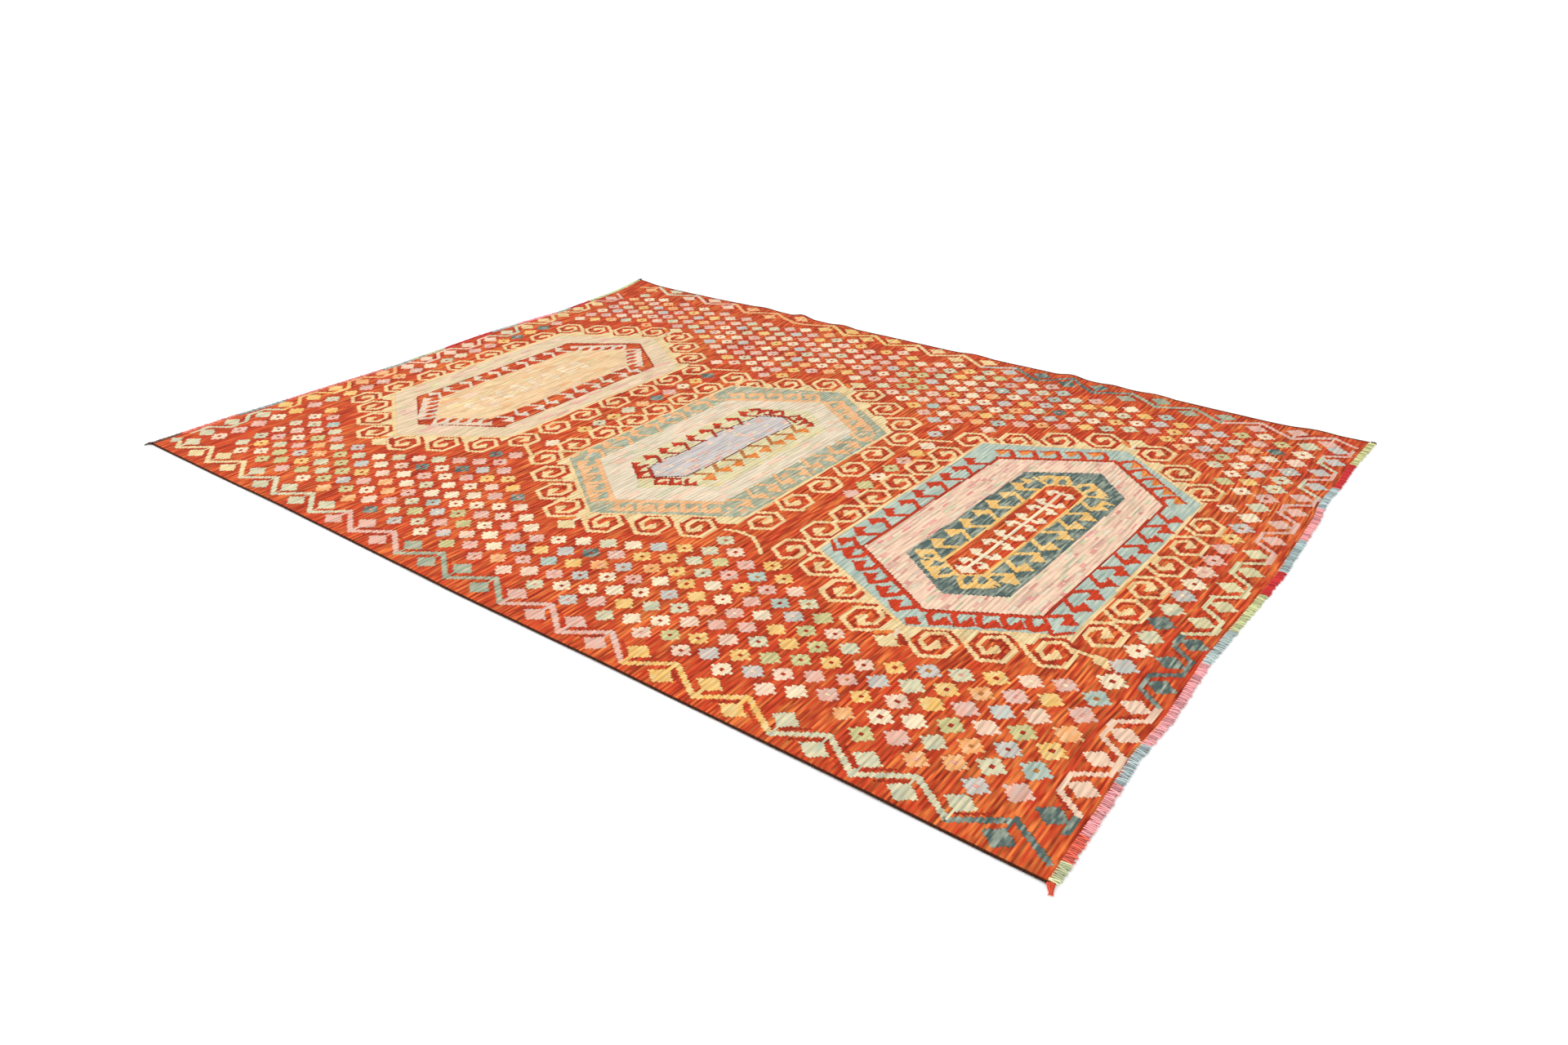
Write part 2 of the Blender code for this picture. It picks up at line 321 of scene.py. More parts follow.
class Yarn(IntEnum):
    """The dyed wools: for each the colour of most of its picks and that of its streaks."""

    def __new__(cls, body: str, streak: str) -> "Yarn":
        """Numbers the wools from 0 on, as the chart and the cloth's finish know them."""
        number = len(cls.__members__)
        made = int.__new__(cls, number)
        made._value_, made.body, made.streak = number, body, streak
        return made

    MADDER = "C64626", "E07C3E"
    DARK_RED = "AE3822", "98301E"
    CREAM = "F6DEB8", "E4D0B6"
    BUTTER = "F0D09C", "E4BE82"
    STRAW = "ECD4A2", "DEC690"
    CELADON = "DCD0AA", "BCC0A6"
    PINK = "E2AC98", "DABCAE"
    BLUSH = "F0CEB2", "E2BCA4"
    ROSE = "DE9688", "E8AAA0"
    SKY = "A6B8AC", "C0CAB8"
    SLATE = "50625E", "A2AA98"
    YELLOW = "EAB868", "EACC90"
    GREEN = "D0C68C", "BCB482"
    PEACH = "EAA466", "F0C094"
    TEAL = "949F88", "C0BB9E"
    APRICOT = "ECB888", "E2A872"
    LILAC = "CEC2BE", "BEBEBC"
    OAT = "E4D2B8", "D8CCB2"
    TAN = "BC7A3E", "A2603A"
    MIST = "BEC2B8", "D6BEB2"
    SAGE = "E4CCAA", "DCC29E"
    BROWN = "6A3424", "7C4030"
    SCARLET = "CC4022", "B63820"
    ORANGE = "E07A34", "EA9650"
    PISTACHIO = "DED2A6", "D0C698"
    HONEY = "EACA9E", "E6BC8E"


(MADDER, DARK_RED, CREAM, BUTTER, STRAW, CELADON, PINK, BLUSH, ROSE, SKY, SLATE, YELLOW, GREEN, PEACH, TEAL,
 APRICOT, LILAC, OAT, TAN, MIST, SAGE, BROWN, SCARLET, ORANGE, PISTACHIO, HONEY) = Yarn

Shares = tuple[tuple[Yarn, int], ...]
Runs = tuple[tuple[float, Yarn], ...]

STAR_YARNS: Shares = ((CREAM, 20), (CELADON, 16), (PINK, 17), (BLUSH, 9), (YELLOW, 10), (GREEN, 6), (SKY, 4),
                      (SLATE, 3), (PEACH, 6), (MIST, 9))
# The far-left quarter is starred almost only with the warm wools.
WARM_STAR_YARNS: Shares = ((CREAM, 22), (CELADON, 9), (PINK, 25), (BLUSH, 14), (YELLOW, 10), (PEACH, 13),
                           (MIST, 7))

# A star 20 wide and 18 high: half its width up to each height over or under its middle.
STAR_STEPS = ((1.6, 10.2), (2.6, 7.4), (3.4, 6.0), (5.5, 6.9), (6.6, 4.6), (9.2, 2.6))
# The spiral hook that stands along the medallions, in millimetres about its own middle.
SPIRAL: Points = [(-54, 27), (-6, 59), (43, 31), (43, -29), (-4, -59), (-37, -33), (-37, 4), (-8, 27)]
SPIRAL_SHADE: Points = [(-40, 21), (-22, 33), (-5, 43), (12, 35), (29, 22), (29, 2), (29, -21), (14, -32),
                        (-3, -40), (-20, -27)]
SPIRAL_HEAD: Points = [(-14, 30), (-2, 30), (23, 4), (2, -22), (-4, -20)]
SPIRAL_BODY: Points = [(-50, 26), (-6, 60), (45, 33), (45, -31), (-4, -62), (-44, -36), (-44, 10)]
SPIRAL_RING: Points = [(-53, 8), (-53, -40), (-5, -73), (54, -38)]
SPIRAL_ROOT: Points = [(-92, -4), (-54, 27)]
# The horn of the middle columns, and the stem and head of the small curled hook.
HORN: Points = [(-5, 40), (-5, 54), (14, 60), (32, 62), (56, 38), (30, 14), (20, 20), (22, 44)]
CURL_STEM: Points = [(0, 0), (2, 20), (27, 47)]
CURL_HEAD: Points = [(24, 54), (34, 52), (68, 22), (40, -3)]

PLAN_LENGTH, PLAN_WIDTH = round(1000 * FORM.length), round(1000 * FORM.width)
DRAWN_IN = 75           # more than the uneven edges shift any cell, in millimetres
BORDER_DIAMOND = 64     # height of the diamonds in the borders
DASH_WIDTH, DASH_ASIDE = 7, 21
STAR_ROOM = 50          # more than half a star's width
# shares of the stars with a dark centre, of those joined to the next, and of the border lines with a dash
MARKED_STARS, JOINED_STARS, DASHED_LINES = 0.6, 0.45, 0.5


def moved(points: Points, x: float, y: float, flip_x: float = 1, flip_y: float = 1) -> Points:
    """Flips, stretches and moves a motif's points."""
    return [(x + flip_x * a, y + flip_y * b) for a, b in points]


def between(a: Point, b: Point, share: float) -> Point:
    """A point part of the way from a to b."""
    return a[0] + (b[0] - a[0]) * share, a[1] + (b[1] - a[1]) * share


def run_of(runs: Runs, place: float) -> Yarn:
    """The wool in use at a place, where each run names the place at which it ends."""
    return next((yarn for end, yarn in runs if place < end), runs[-1][1])


class Cells:
    """The cells of the cloth, each one warp wide, and the yarn in each of them."""

    def __init__(self, columns: int, rows: int, seed: int = 7) -> None:
        """Lays the cells out over the cloth, all in the ground colour.

        Args:
            columns: cells along the length.
            rows: cells over the width, which is the number of warps shown.
            seed: fixes the hand-made unevenness.
        """
        self.columns, self.rows = columns, rows
        u, v = (np.arange(columns)[:, None] + 0.5) / columns, (np.arange(rows)[None, :] + 0.5) / rows
        x, y = FORM.cloth_at(u, v)
        self.x, self.y = 1000 * x + 500 * FORM.length, 1000 * y + 500 * FORM.width
        self.step_x, self.step_y = self.pairs(self.x), self.pairs(self.y)
        self.yarn = np.full((columns, rows), MADDER, np.uint8)
        self.luck = np.random.default_rng(seed)

    def pairs(self, places: np.ndarray) -> np.ndarray:
        """Gives each two by two block of cells one place, which is the step that a woven edge takes."""
        block = places.reshape(self.columns // 2, 2, self.rows // 2, 2).mean((1, 3))
        return block.repeat(2, 0).repeat(2, 1)

    def window(self, points: Points, margin: float) -> Window:
        """Finds the cells that a shape can reach.

        Args:
            points: the shape.
            margin: room about it, in millimetres.

        Returns:
            The slices of columns and rows.
        """
        spans = []
        for places, whole, count in zip(zip(*points), (PLAN_LENGTH, PLAN_WIDTH), (self.columns, self.rows)):
            first = int((min(places) - margin - DRAWN_IN) / whole * count)
            last = int((max(places) + margin + DRAWN_IN) / whole * count)
            spans.append(slice(max(first - first % 2, 0), min(last, count)))
        return spans[0], spans[1]

    def weave(self, near: Window, inside: np.ndarray, yarn: int, only: int | None = None) -> None:
        """Puts a yarn in the cells of a shape, or only in those that hold one other yarn."""
        if only is not None:
            inside = inside & (self.yarn[near] == only)
        self.yarn[near][inside] = yarn

    def fill(self, points: Points, yarn: int) -> None:
        """Weaves a closed shape."""
        near = self.window(points, 6)
        x, y = self.step_x[near], self.step_y[near]
        inside = np.zeros(x.shape, bool)
        for (xa, ya), (xb, yb) in zip(points, points[1:] + points[:1]):
            if ya != yb:
                inside ^= ((ya > y) != (yb > y)) & (x < xa + (y - ya) * (xb - xa) / (yb - ya))
        self.weave(near, inside, yarn)

    def stroke(self, points: Points, width: float, yarn: int) -> None:
        """Weaves a line of the given width in millimetres."""
        near = self.window(points, width)
        x, y = self.step_x[near], self.step_y[near]
        inside = np.zeros(x.shape, bool)
        for (xa, ya), (xb, yb) in zip(points, points[1:]):
            dx, dy = xb - xa, yb - ya
            along = np.clip(((x - xa) * dx + (y - ya) * dy) / max(dx * dx + dy * dy, 1e-6), 0, 1)
            inside |= (x - xa - along * dx) ** 2 + (y - ya - along * dy) ** 2 <= width * width / 4
        self.weave(near, inside, yarn)

    def lozenge(self, x: float, y: float, width: float, height: float, yarn: int) -> None:
        """Weaves a small diamond."""
        self.fill([(x - width / 2, y), (x, y + height / 2), (x + width / 2, y), (x, y - height / 2)], yarn)

    def star(self, x: float, y: float, yarn: int, wide: float, high: float) -> None:
        """Weaves one eight-lobed star.

        Args:
            x: its middle.
            y: its middle.
            yarn: its yarn.
            wide: its width over the arms, in millimetres.
            high: its height.
        """
        near = self.window([(x, y)], STAR_ROOM)
        across, up = np.abs(self.x[near] - x) / wide * 20, np.abs(self.y[near] - y) / high * 18
        half = np.select([up < top for top, _ in STAR_STEPS], [reach for _, reach in STAR_STEPS], 0)
        self.weave(near, across < half, yarn, MADDER)
        if self.luck.random() < MARKED_STARS:
            mark = DARK_RED
            if yarn not in (CREAM, YELLOW, GREEN):
                mark = self.luck.choice([DARK_RED, TAN, ROSE, CREAM])
            self.weave(near, (across < 1.8) & (up < 1.7), mark if mark != yarn else TAN)

    def free(self, x: float, y: float, snug: bool) -> bool:
        """Says whether only ground lies where a star would come.

        Args:
            x: the star's middle.
            y: the star's middle.
            snug: whether its arms may be cut off by what stands beside it.

        Returns:
            True where there is room.
        """
        near = self.window([(x, y)], STAR_ROOM)
        across, up = np.abs(self.x[near] - x), np.abs(self.y[near] - y)
        body, arms = (across < 26) & (up < 32), (across < 37) & (up < 7)
        about = (across < 18) & (up < 27) if snug else body | arms
        return bool(about.any()) and not (self.yarn[near][about] != MADDER).any()

    def fleck(self, ground: int, yarns: tuple[int, ...], share: float, run: int, within: Points,
              wide: int = 2) -> None:
        """Works short runs of other yarns along the weft into one yarn's area.

        Args:
            ground: the yarn that they are worked into.
            yarns: the yarns of the runs.
            share: how much of the ground they cover.
            run: a run's usual length in cells.
            within: points whose window holds the area.
            wide: a run's greatest width in cells.
        """
        part = self.yarn[self.window(within, 0)]
        starts = np.argwhere(part == ground)
        count = int(len(starts) * share / (run * wide))
        for a, b in starts[self.luck.choice(len(starts), count, replace=False)]:
            length, broad = int(run * self.luck.uniform(0.5, 1.5)), int(self.luck.integers(1, wide + 1))
            patch = part[a - a % 2:a - a % 2 + broad, b - b % 2:b - b % 2 + length]
            patch[patch == ground] = self.luck.choice(yarns)

    def slits(self) -> np.ndarray:
        """Marks the cells at whose near edge two colours meet along a warp, where a tapestry stays open."""
        differs = np.zeros(self.yarn.shape, bool)
        differs[:, 1:] = self.yarn[:, 1:] != self.yarn[:, :-1]
        before, after = np.zeros(self.yarn.shape, bool), np.zeros(self.yarn.shape, bool)
        before[1:] = differs[1:] & differs[:-1]
        after[:-1] = differs[:-1] & differs[1:]
        return differs & (before | after)


@dataclass(frozen=True)
class HookRow:
    """One run of spiral hooks beside a medallion: first and last middle, count and which way they turn."""

    first: Point
    last: Point
    count: int
    flip_x: int
    flip_y: int
    wedge: bool = False

    def weave(self, cells: Cells, size: float) -> None:
        """Weaves the run. Along an upright side every other hook hangs upside down.

        Args:
            cells: the cloth's cells.
            size: the hooks' size against the usual one.
        """
        for number in range(self.count):
            x, y = between(self.first, self.last, number / max(self.count - 1, 1))
            x, y = x + cells.luck.uniform(-3, 3), y + cells.luck.uniform(-4, 4)
            turn = self.flip_y * (1 if self.wedge or number % 2 == 0 else -1)
            fx, fy = self.flip_x * size * 1.06, turn * size * 1.06
            cells.fill(moved(SPIRAL_BODY, x, y, fx * 1.08, fy * 1.08), MADDER)
            if self.wedge:
                ring = moved(SPIRAL_RING, x, y, fx, fy)
                cells.stroke(ring, 13, MADDER)
                for a, b in zip(ring, ring[1:]):
                    shade = [between(a, b, 0.1), between(a, b, 0.55)]
                    cells.stroke(shade, 8, cells.luck.choice([DARK_RED, SCARLET]))
                cells.stroke(moved(SPIRAL_ROOT, x, y, fx, fy), 15, BUTTER)
            shade = moved(SPIRAL_SHADE, x, y, fx, fy)
            for start in range(0, len(shade), 2):
                cells.stroke(shade[start:start + 2], 9, cells.luck.choice([DARK_RED, SCARLET, DARK_RED]))
            cells.stroke(moved(SPIRAL, x, y, fx, fy), 14.5, BUTTER)
            cells.fill(moved(SPIRAL_HEAD, x, y, fx, fy), BUTTER)


@dataclass(frozen=True)
class TriangleHook:
    """A triangle on a bent stem, woven in mirrored pairs that stand on an upright line."""

    stem: float
    gap: float
    head: float
    stem_yarn: Yarn
    head_yarn: Yarn

    def weave_pairs(self, cells: Cells, line: Points, first: float, last: float, count: int,
                    reach: float) -> None:
        """Weaves the pairs.

        Args:
            cells: the cloth's cells.
            line: two points of the line that they stand on.
            first: the height of the first pair.
            last: that of the last.
            count: how many pairs.
            reach: how far they stand out, and under 0 where that is to the left of the line.
        """
        (xa, ya), (xb, yb) = line
        for number in range(count):
            y = first + (last - first) * number / max(count - 1, 1) + cells.luck.uniform(-4, 4)
            x = xa + (xb - xa) * (y - ya) / (yb - ya)
            for side in (1, -1):
                back_x, back_y = x + reach * 0.5, y + side * self.gap
                foot = (x, y + side * (self.gap + self.head * 0.66))
                top = (back_x, back_y + side * self.head * 0.4)
                cells.stroke([foot, (back_x, back_y), top], self.stem, self.stem_yarn)
                tip = (x + reach * 0.92, y + side * (self.gap + self.head * 0.52))
                cells.fill([(back_x - 3, back_y - side * 5), (back_x - 3, back_y + side * self.head), tip],
                           self.head_yarn)


# From a hexagon's points: the slanted sides as apex, side corner and the way their hooks stand inside it.
SLANTS = ((2, 3, -1), (2, 1, -1), (5, 4, 1), (5, 0, 1))


def curls(cells: Cells, apex: Point, side: Point, count: int, size: float, yarns: tuple[int, int],
          up: int) -> None:
    """Weaves a row of small curled hooks that stand on a slanted line.

    Args:
        cells: the cloth's cells.
        apex: the line's end at the medallion's point.
        side: its other end.
        count: how many hooks.
        size: their size against the usual one.
        yarns: the yarn of the stems and that of the heads.
        up: 1 where they stand on the line, -1 where they hang from it.
    """
    toward = size if side[0] > apex[0] else -size
    for number in range(count):
        x, y = between(apex, side, (number + 0.42) / count)
        cells.stroke(moved(CURL_STEM, x, y, toward, up * size), 17 * size, yarns[0])
        cells.fill(moved(CURL_HEAD, x, y, toward, up * size), yarns[1])
        cells.stroke(moved(CURL_HEAD[:3], x, y, toward, up * size), 8 * size, yarns[0])


def horns(cells: Cells, x: float, y: float, sides: Points) -> None:
    """Weaves the cream horns of a middle column, each flipped and sized as its side says."""
    for flip_x, flip_y in sides:
        cells.fill(moved(HORN, x, y, flip_x, flip_y), CREAM)


@dataclass
class Medallion:
    """One hexagonal medallion, its corners from the left top down and round, and the hooks about it."""

    outline: Points
    bands: list[tuple[Points, Yarn]]
    rows: list[HookRow]
    lozenges: Points
    hook_size: float = 1.0

    def weave(self, cells: Cells) -> None:
        """Weaves the outer wedges, the hooks, the two tip diamonds and then the bands from the outside in."""
        corners = self.outline
        for side, apex, up in ((1, 2, -1), (3, 2, -1), (4, 5, 1), (0, 5, 1)):
            (xs, ys), (xa, ya) = corners[side], corners[apex]
            cells.fill([(xs, ys), (xa, ya), (xa, ya + up * 56), (xs, ys + up * 42)], STRAW)
        for row in self.rows:
            row.weave(cells, self.hook_size)
        for x, y in self.lozenges:
            up = 1 if y > corners[5][1] else -1
            for side, shade in ((1, DARK_RED), (-1, ORANGE)):
                cells.stroke([(x + side * 10, y - up * 44), (x + side * 44, y - up * 18)], 15, shade)
            cells.stroke([(x, y), (x, y - up * 56)], 13, CREAM)
            cells.lozenge(x, y, 82, 62, STRAW)
        for band, yarn in [(self.outline, BUTTER)] + self.bands:
            cells.fill(band, yarn)


class MedallionField:
    """The three medallions with what is woven inside each, and the strokes that join their hooks."""

    def __init__(self) -> None:
        """Sets out the three medallions."""
        self.first = Medallion(
            [(305, 1660), (305, 785), (663, 538), (1011, 776), (1048, 1656), (700, 1876)],
            [([(328, 1648), (317, 793), (663, 553), (1000, 783), (1036, 1649), (700, 1861)], SAGE),
             ([(436, 1596), (420, 822), (646, 661), (915, 826), (938, 1601), (690, 1775)], MADDER),
             ([(516, 1537), (498, 868), (646, 730), (823, 849), (851, 1537), (695, 1688)], HONEY)],
            [HookRow((1068, 790), (1098, 1674), 7, 1, 1), HookRow((258, 707), (278, 1592), 7, -1, 1),
             HookRow((750, 524), (984, 670), 3, 1, -1, True),
             HookRow((562, 519), (356, 666), 3, -1, -1, True),
             HookRow((782, 1931), (997, 1775), 3, 1, 1, True),
             HookRow((635, 1931), (287, 1738), 4, -1, 1, True)],
            [(704, 1995), (663, 478)], 0.95)
        self.second = Medallion(
            [(1325, 1624), (1297, 780), (1659, 533), (2076, 794), (2090, 1596), (1728, 1830)],
            [([(1336, 1618), (1308, 786), (1659, 547), (2065, 800), (2079, 1590), (1728, 1816)], TEAL),
             ([(1416, 1509), (1398, 831), (1659, 643), (1948, 831), (1980, 1537), (1723, 1702)], OAT),
             ([(1512, 1482), (1499, 895), (1664, 758), (1861, 913), (1888, 1491), (1732, 1592)], PISTACHIO),
             ([(1608, 1454), (1585, 1271), (1590, 1014), (1572, 959), (1585, 888), (1650, 844), (1733, 910),
               (1751, 1133), (1751, 1317), (1765, 1450), (1691, 1497)], BROWN),
             ([(1613, 1450), (1590, 1271), (1595, 1014), (1577, 959), (1590, 890), (1650, 849), (1728, 913),
               (1746, 1133), (1746, 1317), (1760, 1450), (1691, 1491)], LILAC)],
            [HookRow((2134, 822), (2149, 1578), 6, 1, 1), HookRow((1240, 735), (1272, 1555), 7, -1, 1),
             HookRow((1746, 515), (1998, 661), 3, 1, -1, True),
             HookRow((1567, 510), (1343, 657), 3, -1, -1, True),
             HookRow((1829, 1858), (2085, 1702), 3, 1, 1, True),
             HookRow((1627, 1858), (1384, 1679), 3, -1, 1, True),
             HookRow((1288, 1697), (1288, 1697), 1, -1, 1)],
            [(1737, 1917), (1655, 446)], 0.97)
        self.third = Medallion(
            [(2385, 1722), (2354, 773), (2781, 569), (3158, 788), (3173, 1707), (2822, 1955)],
            [([(2396, 1714), (2366, 781), (2781, 583), (3147, 796), (3162, 1700), (2822, 1941)], SKY),
             ([(2489, 1640), (2455, 861), (2777, 670), (3055, 828), (3080, 1629), (2822, 1844)], DARK_RED),
             ([(2499, 1633), (2465, 867), (2777, 681), (3045, 834), (3070, 1624), (2822, 1832)], BLUSH),
             ([(2613, 1591), (2582, 905), (2776, 776), (2934, 866), (2959, 1596), (2823, 1727)], SLATE),
             ([(2712, 1551), (2685, 931), (2764, 878), (2829, 925), (2856, 1546), (2788, 1594)], YELLOW),
             ([(2722, 1545), (2695, 936), (2764, 890), (2819, 932), (2846, 1539), (2788, 1580)], MADDER)],
            [HookRow((3214, 846), (3222, 1561), 6, 1, 1), HookRow((2300, 730), (2331, 1561), 7, -1, 1),
             HookRow((2886, 550), (3142, 692), 3, 1, -1, True),
             HookRow((2672, 552), (2421, 708), 3, -1, -1, True),
             HookRow((2920, 1980), (3148, 1790), 3, 1, 1, True),
             HookRow((2716, 1980), (2346, 1722), 4, -1, 1, True)],
            [(2827, 2024), (2778, 495)], 1.0)

    def weave(self, cells: Cells) -> None:
        """Weaves the medallions, then what is inside them, then the joining strokes."""
        for medallion in (self.first, self.second, self.third):
            medallion.weave(cells)
        self.inside_third(cells)
        self.inside_second(cells)
        self.inside_first(cells)
        for stroke in ([(1098, 770), (1205, 712)], [(1155, 1722), (1247, 1768)], [(2195, 1608), (2297, 1660)],
                       [(2070, 706), (2118, 722), (2160, 722), (2208, 689), (2245, 657)],
                       [(3166, 738), (3230, 738)]):
            cells.stroke(stroke, 13, BUTTER)
        cells.fill([(3222, 752), (3262, 750), (3288, 706), (3236, 716)], BUTTER)

    def inside_third(self, cells: Cells) -> None:
        """Weaves the red and the yellow hooks of the medallion nearest the camera and its cream column."""
        red_line, yellow = self.third.bands[1][0], self.third.bands[4][0]
        hook = TriangleHook(16, 13, 58, SCARLET, SCARLET)
        hook.weave_pairs(cells, red_line[3:5], 890, 1515, 5, 94)
        hook.weave_pairs(cells, red_line[:2], 900, 1530, 5, -94)
        for apex, side, up in SLANTS:
            cells.stroke([red_line[apex], red_line[side]], 12, SCARLET)
            heads = SCARLET if up < 0 else ORANGE
            curls(cells, red_line[apex], red_line[side], 5, 1.05, (SCARLET, heads), up)
        for band, yarn in self.third.bands[2:]:
            cells.fill(band, yarn)
        cells.lozenge(2782, 613, 52, 50, SCARLET)
        for side, toward in ((3, 1), (1, -1)):
            x, y = red_line[side]
            cells.stroke([(x, y), (x + toward * 48, y - 62), (x + toward * 88, y - 22)], 12, SCARLET)
        hook = TriangleHook(16, 13, 58, YELLOW, YELLOW)
        hook.weave_pairs(cells, yellow[3:5], 988, 1452, 4, 104)
        hook.weave_pairs(cells, yellow[:2], 976, 1448, 4, -104)
        for apex, side, up in SLANTS:
            curls(cells, yellow[apex], yellow[side], 2, 1.0, (YELLOW, YELLOW), up)
            x, y = yellow[side]
            toward = 1 if x > 2765 else -1
            cells.stroke([(x, y), (x + toward * 52, y + up * 22)], 13, YELLOW)
            cells.fill(moved([(44, 0), (44, 44), (92, 14)], x, y + up * 4, toward, -up), YELLOW)
        cells.fleck(BLUSH, (PINK, OAT, CELADON), 0.35, 14, red_line, 5)
        cells.fleck(BLUSH, (ROSE,), 0.14, 9, red_line, 4)
        for y in (1470, 1344, 1210, 1070):
            x = 2781 - (1470 - y) * 0.026
            cells.stroke([(x, y + 60), (x - 2, y - 66)], 11, CREAM)
            horns(cells, x, y, [(0.95, 0.92), (-0.95, 0.92), (0.95, -0.92), (-0.95, -0.92)])
        # the last horns stand alone over the column's foot
        x, y = 2781 - (1470 - 950) * 0.026, 950
        cells.stroke([(x, y + 60), (x - 2, y - 10)], 11, CREAM)
        horns(cells, x, y - 12, [(0.95, 0.8), (-0.95, 0.8)])
        cells.lozenge(2765, 925, 74, 48, CREAM)

    def inside_second(self, cells: Cells) -> None:
        """Weaves the hooks of the middle medallion and flecks its bands."""
        oat, straw, lilac = (self.second.bands[k][0] for k in (1, 2, 4))
        hook = TriangleHook(14, 12, 50, APRICOT, APRICOT)
        hook.weave_pairs(cells, oat[3:5], 905, 1475, 5, 112)
        hook.weave_pairs(cells, oat[:2], 905, 1455, 5, -108)
        for apex, side, up in SLANTS:
            cells.stroke([oat[apex], oat[side]], 18, APRICOT)
            curls(cells, oat[apex], oat[side], 5, 1.1, (APRICOT, APRICOT), up)
        cells.fleck(TEAL, (APRICOT, SAGE, SKY), 0.4, 8, self.second.outline, 4)
        hook = TriangleHook(14, 12, 56, TAN, ORANGE)
        hook.weave_pairs(cells, [(1738, 930), (1762, 1450)], 985, 1400, 4, 100)
        hook = TriangleHook(12, 14, 48, DARK_RED, SCARLET)
        hook.weave_pairs(cells, [(1586, 930), (1610, 1450)], 985, 1400, 4, -96)
        for a, b, up in (((1650, 838), (1775, 915), -1), ((1650, 838), (1545, 915), -1),
                         ((1691, 1503), (1800, 1462), 1), ((1691, 1503), (1570, 1452), 1)):
            cells.stroke([a, between(a, b, 0.6)], 13, DARK_RED)
            curls(cells, a, b, 3, 0.78, (DARK_RED, SCARLET), up)
        cells.fleck(LILAC, (MIST, BLUSH, PINK, OAT), 0.5, 9, lilac, 6)
        cells.fleck(OAT, (BLUSH, CELADON, BLUSH), 0.55, 16, oat, 8)
        cells.fleck(PISTACHIO, (OAT, STRAW), 0.5, 12, straw, 5)

    def inside_first(self, cells: Cells) -> None:
        """Weaves the pale hooks of the far-left medallion, its faint middle column and its flecks."""
        sage, ring, honey = (band for band, _ in self.first.bands)
        cells.stroke(ring + ring[:1], 7, DARK_RED)
        hook = TriangleHook(13, 14, 44, OAT, OAT)
        hook.weave_pairs(cells, honey[3:5], 915, 1490, 5, 98)
        hook.weave_pairs(cells, honey[:2], 915, 1490, 5, -92)
        for apex, side, up in SLANTS:
            curls(cells, honey[apex], honey[side], 5, 0.95, (OAT, BLUSH), up)
        cells.fleck(OAT, (LILAC, MIST), 0.3, 8, honey, 3)
        cells.fleck(SAGE, (BLUSH, PINK, PISTACHIO), 0.6, 18, sage, 9)
        for y in (1400, 1240, 1080, 930):
            horns(cells, 672, y, [(1, 1), (-1, 1), (1, -1), (-1, -1)])
            cells.stroke([(672, y + 60), (672, y - 60)], 11, CREAM)
        cells.fleck(CREAM, (HONEY, BLUSH), 0.6, 6, honey, 3)
        cells.fleck(HONEY, (STRAW, STRAW, BLUSH, APRICOT), 0.55, 18, honey, 8)


def dash(cells: Cells, start: Point, end: Point, beside: Point) -> None:
    """Weaves the red dash that runs, on about every other line, beside the first half of a border's line.

    Args:
        cells: the cloth's cells.
        start: where the line starts.
        end: where it ends.
        beside: how far the dash lies from the line.
    """
    ends = [between(start, end, share) for share in (0.06, 0.58)]
    if cells.luck.random() < DASHED_LINES:
        cells.stroke(moved(ends, *beside), DASH_WIDTH, cells.luck.choice([DARK_RED, SCARLET]))


@dataclass(frozen=True)
class ZigzagBorder:
    """The zigzag along a long side, with a stemmed diamond in each bay."""

    low: float
    high: float
    # where each stretch starts and ends, its half waves, and whether it starts low
    stretches: tuple[tuple[float, float, int, bool], ...]
    runs: Runs
    tails: tuple[Points, ...] = ()

    def weave(self, cells: Cells) -> None:
        """Weaves the line, its red dashes and its diamonds."""
        corners: list[tuple[float, float, int]] = []
        for start, end, count, low_first in self.stretches:
            for k in range(1 if corners else 0, count + 1):
                inner = 1 if (k % 2 == 0) == low_first else -1
                y = (self.low if inner == 1 else self.high) + cells.luck.uniform(-4, 4)
                corners.append((start + (end - start) * k / count + cells.luck.uniform(-4, 4), y, inner))
        for a, b in zip(corners, corners[1:]):
            cells.stroke([a[:2], b[:2]], 16.5, run_of(self.runs, (a[0] + b[0]) / 2))
        for tail in self.tails:
            cells.stroke(tail, 16, run_of(self.runs, tail[-1][0]))
        for a, b in zip(corners, corners[1:]):
            for (x, y, inner), other in ((a, b), (b, a)):
                dash(cells, (x, y), other[:2], (0, inner * DASH_ASIDE))
        for x, y, inner in corners:
            yarn = run_of(self.runs, x)
            cells.stroke([(x, y), (x, y + inner * 40)], 8, yarn)
            cells.lozenge(x, y + inner * 60, 82, BORDER_DIAMOND, yarn)


